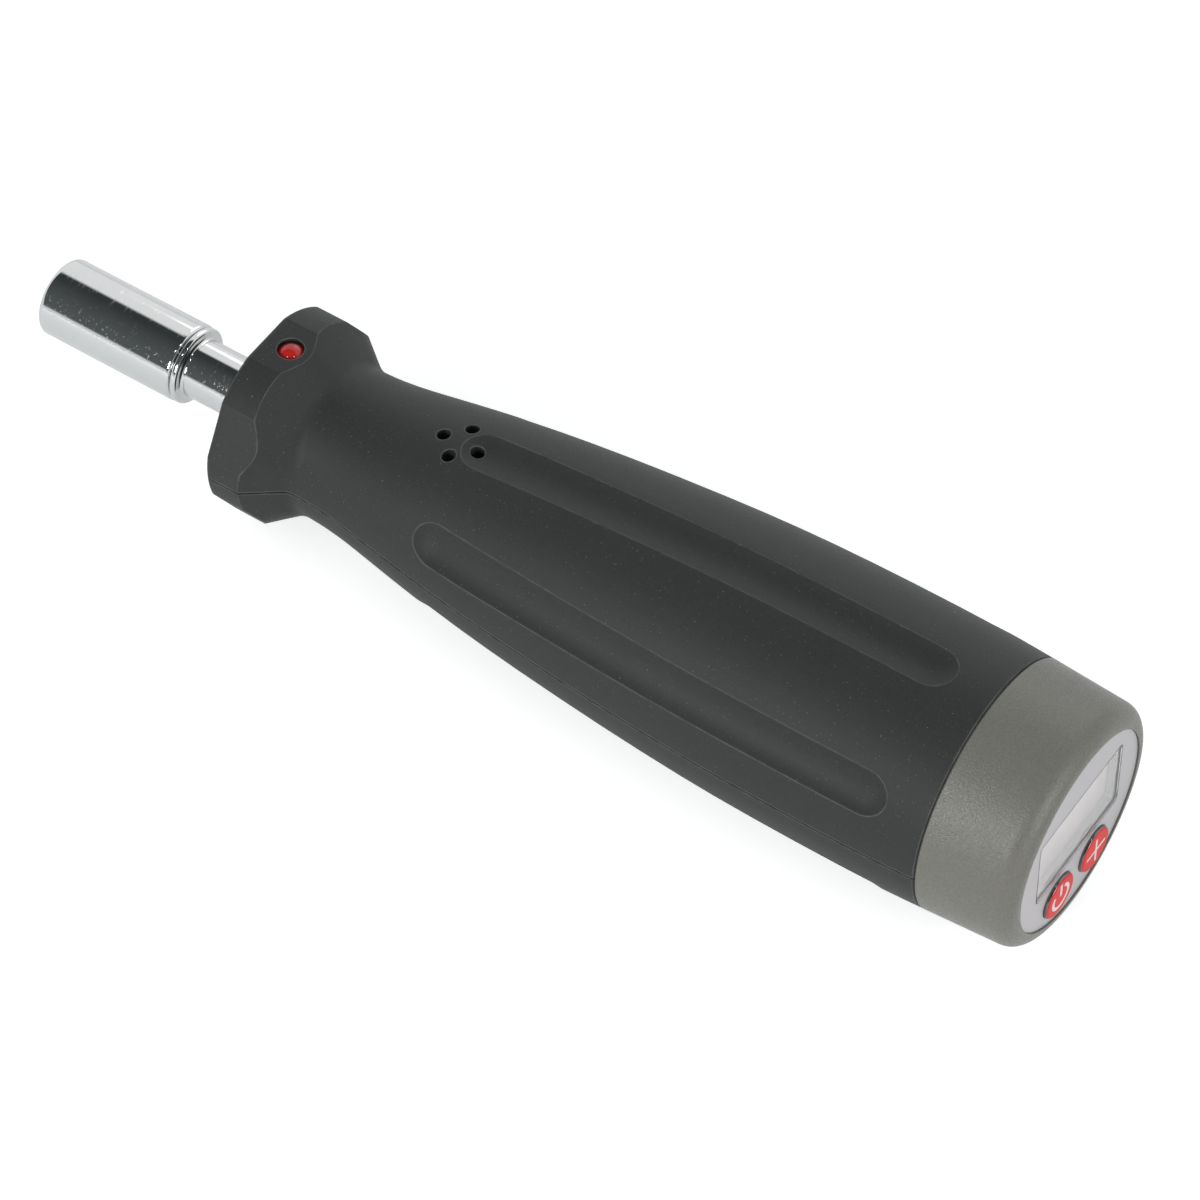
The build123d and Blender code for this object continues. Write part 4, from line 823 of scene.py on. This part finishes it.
class SCREWDRIVER_OT_bit_holder(bpy.types.Operator):
    """Turns the chromed bit holder and finishes its magnet"""
    bl_idname = "screwdriver.bit_holder"
    bl_label = "Bit Holder"

    def execute(self, context):
        chrome = chrome_material()
        assign(chrome, "bit_holder")
        assign(metal_material("plated magnet", (0.5, 0.5, 0.5), 0.25), "bit_magnet")
        mesh = self.turned_mesh(context.scene.screwdriver_holder)
        holder = add_piece("turned_bit_holder", mesh, "handle", chrome)
        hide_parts("bit_holder")
        return {"FINISHED"}

    def sleeve_outline(self, settings, front, shoulder):
        """Points (along, out) over the sleeve and its bead, down to the neck."""
        sleeve, neck = settings.sleeve_radius, settings.neck_radius
        front_round, rear_round = 0.9 * MM, 0.55 * MM
        # A support ring beside each round keeps the cylinders' normals true
        support = 0.06 * MM
        groove_floor, groove_length = sleeve - 0.75 * MM, 0.12 * MM
        bead, bead_front, bead_rear = sleeve - 0.12 * MM, 0.3 * MM, 0.45 * MM
        bead_end, fillet = shoulder + 1.2 * MM, 0.5 * MM
        points = quarter(front + front_round, sleeve - front_round, front_round, 180)
        points += [
            (front + front_round + support, sleeve), (shoulder - rear_round - support, sleeve),
        ]
        points += quarter(shoulder - rear_round, sleeve - rear_round, rear_round, 90)
        points += [(shoulder, groove_floor), (shoulder + groove_length, groove_floor)]
        points += quarter(shoulder + groove_length + bead_front, bead - bead_front, bead_front, 180)
        points += quarter(bead_end - bead_rear, bead - bead_rear, bead_rear, 90)
        points += [(bead_end, neck + fillet)]
        points += [
            (bead_end + fillet * (1 - math.sin(turn)), neck + fillet * (1 - math.cos(turn)))
            for turn in (math.radians(angle) for angle in (75, 50, 25, 0))
        ]
        return points + [(bead_end + fillet + support, neck)]

    def neck_outline(self, settings, rear):
        """Points (along, out) from the clip's groove, round the rear end, into the bore."""
        neck, groove_floor = settings.neck_radius, settings.neck_radius - 0.5 * MM
        chamfer, bore_radius, bore_end = 0.3 * MM, 3.05 * MM, rear - 9.0 * MM
        clip_low, clip_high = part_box("shaft_clip")
        groove_front, groove_rear = clip_low.x - CLIP_PLAY, clip_high.x + CLIP_PLAY
        return [
            (groove_front, neck), (groove_front, groove_floor),
            (groove_rear, groove_floor), (groove_rear, neck),
            (rear - chamfer, neck), (rear, neck - chamfer),
            (rear, bore_radius), (bore_end, bore_radius),
        ]

    def socket_rings(self, settings, front, mouth, angles):
        """Rings of (along, out) points from the magnet's pocket to the hex socket's lead-in."""
        magnet_low, magnet_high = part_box("bit_magnet")
        pocket = (magnet_high.y - magnet_low.y) / 2 + MAGNET_PLAY
        half = settings.hex_width / 2
        flats = [half / math.cos(angle % (math.pi / 3) - math.pi / 6) for angle in angles]
        return [
            [(magnet_high.x + MAGNET_PLAY, pocket)] * HOLDER_STEPS,
            [(magnet_low.x, pocket)] * HOLDER_STEPS,
            [(magnet_low.x, reach) for reach in flats],
            [(front + mouth - reach, reach) for reach in flats],
        ]

    def turned_mesh(self, settings):
        """The turned holder: the socket, then the outside, then the bore for the sensor."""
        front = JOINT_X + settings.front
        mouth = settings.hex_width / math.sqrt(3) + 0.5 * MM
        angles = [math.tau * step / HOLDER_STEPS for step in range(HOLDER_STEPS)]
        outline = [(front, mouth)]
        outline += self.sleeve_outline(settings, front, JOINT_X + SHOULDER)
        outline += self.neck_outline(settings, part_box("bit_holder")[1].x)
        rings = self.socket_rings(settings, front, mouth, angles)
        rings += [[point] * HOLDER_STEPS for point in outline]
        made = bmesh.new()
        rows = [
            [
                made.verts.new((x, r * math.cos(angle), AXIS_Z + r * math.sin(angle)))
                for (x, r), angle in zip(ring, angles)
            ]
            for ring in rings
        ]
        for low, high in zip(rows, rows[1:]):
            for step in range(HOLDER_STEPS):
                after = (step + 1) % HOLDER_STEPS
                made.faces.new((low[step], low[after], high[after], high[step]))
        made.faces.new(rows[0])
        made.faces.new(rows[-1])
        bmesh.ops.remove_doubles(made, verts=made.verts, dist=WELD_DISTANCE)
        bmesh.ops.recalc_face_normals(made, faces=made.faces)
        for face in made.faces:
            face.smooth = True
        mesh = bpy.data.meshes.new("turned_bit_holder")
        made.to_mesh(mesh)
        made.free()
        mesh.set_sharp_from_angle(angle=math.radians(35))
        return mesh


class SCREWDRIVER_OT_inner_parts(bpy.types.Operator):
    """Finishes what is inside the handle, and its screws"""
    bl_idname = "screwdriver.inner_parts"
    bl_label = "Inner Parts"

    def execute(self, context):
        assign(metal_material("machined steel", (0.5, 0.5, 0.51), 0.35),
               "shell_screws", "cross_pin", "shaft_clip", "torque_sensor", "sensor_screws",
               "main_board_screws", "display_board_screws")
        assign(plastic_material("bush plastic", (0.6, 0.57, 0.5), 0.5), "front_bush")
        assign(metal_material("gauge foil", (0.6, 0.36, 0.14), 0.4), "strain_gauges")
        assign(bpy.data.materials["black plastic"], "anchor_block", "buzzer")
        assign(plastic_material("tray plastic", (0.05, 0.05, 0.055), 0.5), "battery_tray")
        assign(plastic_material("cell sleeve", (0.05, 0.12, 0.32), 0.3, 0.005 * MM),
               "battery_cells")
        assign(metal_material("nickel plate", (0.62, 0.6, 0.55), 0.3),
               "battery_springs", "battery_contacts")
        assign(plastic_material("solder mask", (0.015, 0.12, 0.05), 0.35, 0.005 * MM),
               "main_board", "display_board")
        assign(plastic_material("lead sleeve", (0.35, 0.02, 0.02), 0.5),
               "buzzer_leads", "led_leads", "sensor_leads")
        assign(plastic_material("ribbon film", (0.62, 0.6, 0.56), 0.45), "display_ribbon")
        return {"FINISHED"}


class SCREWDRIVER_OT_stage(bpy.types.Operator):
    """Makes the floor, the soft lamps and the camera"""
    bl_idname = "screwdriver.stage"
    bl_label = "Stage"

    def execute(self, context):
        settings = context.scene.screwdriver_stage
        context.scene.view_settings.view_transform = "Standard"
        self.make_world(context.scene, settings)
        self.make_floor()
        self.make_camera(context.scene, settings)
        for name, place, target, size, power in LAMPS:
            self.make_lamp(name, Vector(place), Vector(target), size, power * settings.light)
        low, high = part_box("indicator_led")
        lens = (low + high) / 2
        for index, towards in enumerate(GLINTS):
            place = lens + Vector(towards) * GLINT_DISTANCE
            glint = self.make_lamp(
                "lamp_glint_%d" % index, place, lens, GLINT_SIZE, GLINT_POWER * settings.light,
            )
            glint.visible_diffuse = False
        return {"FINISHED"}

    def make_world(self, scene, settings):
        """Pale surroundings, with a darker side above and behind the camera for polished parts."""
        scene.world = bpy.data.worlds.new("studio")
        scene.world.use_nodes = True
        tree = scene.world.node_tree
        background = tree.nodes["Background"]
        direction = node(tree, "ShaderNodeTexCoord", (-1300, 0)).outputs["Generated"]
        facing = node(
            tree, "ShaderNodeVectorMath", (-1100, 0), {"operation": "DOT_PRODUCT"},
            i0=direction, i1=DARK_SIDE,
        )
        dark = scale_value(
            tree, (-900, 0), facing.outputs["Value"], 0.0, 1.0, *DARK_EDGE, "SMOOTHSTEP",
        )
        tint = mix_colour(tree, (-450, -400), dark, (1.0, 1.0, 1.0), (0.88, 0.98, 1.0))
        spread = scale_value(tree, (-700, 100), dark, settings.surround, settings.shade)
        parts = node(tree, "ShaderNodeSeparateXYZ", (-1100, -400), i0=direction)
        # Mirrored, the dark side is darker than the light it gives, most of all overhead
        deep = scale_value(tree, (-900, -400), parts.outputs["Y"], 0.12, 0.05, -0.85, 0.1)
        mirrored = scale_value(tree, (-700, -200), dark, 1.0, deep)
        path = node(tree, "ShaderNodeLightPath", (-900, 500)).outputs
        glossy = node(
            tree, "ShaderNodeMix", (-450, 0), i0=path["Is Glossy Ray"], i2=spread, i3=mirrored,
        )
        seen = maths(
            tree, (-450, 300), "MAXIMUM", path["Is Camera Ray"], path["Is Transmission Ray"],
        )
        strength = node(tree, "ShaderNodeMix", (-200, 100), i0=seen, i2=glossy.outputs[0], i3=1.0)
        feed_inputs(tree, background, Color=tint, Strength=strength.outputs[0])

    def make_floor(self):
        """A pale floor under the shell, sloped as in the photo and clear from below."""
        along = Vector((math.cos(FLOOR_SLOPE), 0.0, -math.sin(FLOOR_SLOPE)))
        across = Vector((0.0, 1.0, 0.0))
        up = along.cross(across)
        shell = bpy.data.objects["handle_shell_lower"]
        touch = min((shell.matrix_world @ vertex.co for vertex in shell.data.vertices), key=up.dot)
        corners = [
            tuple(touch + (along * a + across * b) * FLOOR_REACH)
            for a, b in ((-1, -1), (1, -1), (1, 1), (-1, 1))
        ]
        mesh = mesh_from("floor", corners, [(0, 1, 2, 3)])
        material, tree, shader = blank_material("pale floor")
        path = node(tree, "ShaderNodeLightPath", (-900, -300)).outputs
        seen = maths(
            tree, (-700, -200), "MAXIMUM", path["Is Camera Ray"], path["Is Transmission Ray"],
        )
        mirrored = maths(tree, (-700, -400), "MULTIPLY", path["Is Glossy Ray"], 0.25)
        lift = maths(tree, (-500, -300), "MULTIPLY_ADD", seen, 0.6, mirrored)
        feed_inputs(
            tree, shader, Base_Color=(0.8, 0.8, 0.8, 1.0), Roughness=0.9,
            Emission_Color=(1.0, 1.0, 1.0, 1.0), Emission_Strength=lift,
        )
        side = node(tree, "ShaderNodeNewGeometry", (-300, 400))
        clear = node(tree, "ShaderNodeBsdfTransparent", (0, -500))
        shown = node(
            tree, "ShaderNodeMixShader", (300, 0),
            i0=side.outputs["Backfacing"], i1=shader.outputs[0], i2=clear.outputs[0],
        )
        feed_inputs(tree, tree.nodes["Material Output"], Surface=shown.outputs[0])
        mesh.materials.append(material)
        add_object("floor", mesh)

    def make_camera(self, scene, settings):
        """The photo's camera, from its angles, its distance and the place it looks at."""
        azimuth, elevation, roll = settings.azimuth, settings.elevation, settings.roll
        back = Vector((
            math.sin(azimuth) * math.cos(elevation),
            -math.cos(azimuth) * math.cos(elevation),
            math.sin(elevation),
        ))
        level = Vector((math.cos(azimuth), math.sin(azimuth), 0.0))
        raised = back.cross(level)
        right = level * math.cos(roll) + raised * math.sin(roll)
        up = raised * math.cos(roll) - level * math.sin(roll)
        data = bpy.data.cameras.new("camera")
        data.sensor_width = 36.0
        data.lens = settings.lens
        data.clip_start = 0.01
        data.clip_end = 20.0
        camera = add_object("camera", data)
        place = at(-60.0, 0.0, 0.0) + back * settings.distance
        place -= right * CAMERA_SHIFT[0] + up * CAMERA_SHIFT[1]
        turn = Matrix((right, up, back)).transposed().to_4x4()
        camera.matrix_world = Matrix.Translation(place) @ turn
        scene.camera = camera

    def make_lamp(self, name, place, target, size, power):
        """A round soft lamp that shines from its place at a target."""
        data = bpy.data.lights.new(name, "AREA")
        data.shape = "DISK"
        data.size = size
        data.energy = power
        lamp = add_object(name, data)
        lamp.location = place
        lamp.rotation_mode = "QUATERNION"
        lamp.rotation_quaternion = (target - place).to_track_quat("-Z", "Y")
        return lamp


# The stage comes first; the display makes the black plastic that later steps use
STEPS = (
    SCREWDRIVER_OT_stage,
    SCREWDRIVER_OT_handle,
    SCREWDRIVER_OT_cap,
    SCREWDRIVER_OT_display,
    SCREWDRIVER_OT_buttons,
    SCREWDRIVER_OT_lamp,
    SCREWDRIVER_OT_bit_holder,
    SCREWDRIVER_OT_inner_parts,
)


SETTINGS = {
    "screwdriver_handle": HandleSettings,
    "screwdriver_cap": CapSettings,
    "screwdriver_buttons": ButtonSettings,
    "screwdriver_holder": HolderSettings,
    "screwdriver_stage": StageSettings,
}


class SCREWDRIVER_PT_panel(bpy.types.Panel):
    """Lists the steps in the 3D view's sidebar"""
    bl_idname = "SCREWDRIVER_PT_panel"
    bl_label = "Torque Screwdriver"
    bl_space_type = "VIEW_3D"
    bl_region_type = "UI"
    bl_category = "Screwdriver"

    def draw(self, context):
        for settings in SETTINGS:
            group = getattr(context.scene, settings)
            for name in group.bl_rna.properties.keys():
                if name not in {"rna_type", "name"}:
                    self.layout.prop(group, name)
        for step in STEPS:
            self.layout.operator(step.bl_idname)


def register():
    for name, group in SETTINGS.items():
        bpy.utils.register_class(group)
        setattr(bpy.types.Scene, name, bpy.props.PointerProperty(type=group))
    for step in STEPS:
        bpy.utils.register_class(step)
    bpy.utils.register_class(SCREWDRIVER_PT_panel)


def unregister():
    bpy.utils.unregister_class(SCREWDRIVER_PT_panel)
    for step in reversed(STEPS):
        bpy.utils.unregister_class(step)
    for name, group in SETTINGS.items():
        delattr(bpy.types.Scene, name)
        bpy.utils.unregister_class(group)


def main():
    """Registers the add-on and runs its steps."""
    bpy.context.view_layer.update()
    register()
    for step in STEPS:
        group, action = step.bl_idname.split(".")
        getattr(getattr(bpy.ops, group), action)()


if __name__ == "__main__":
    main()
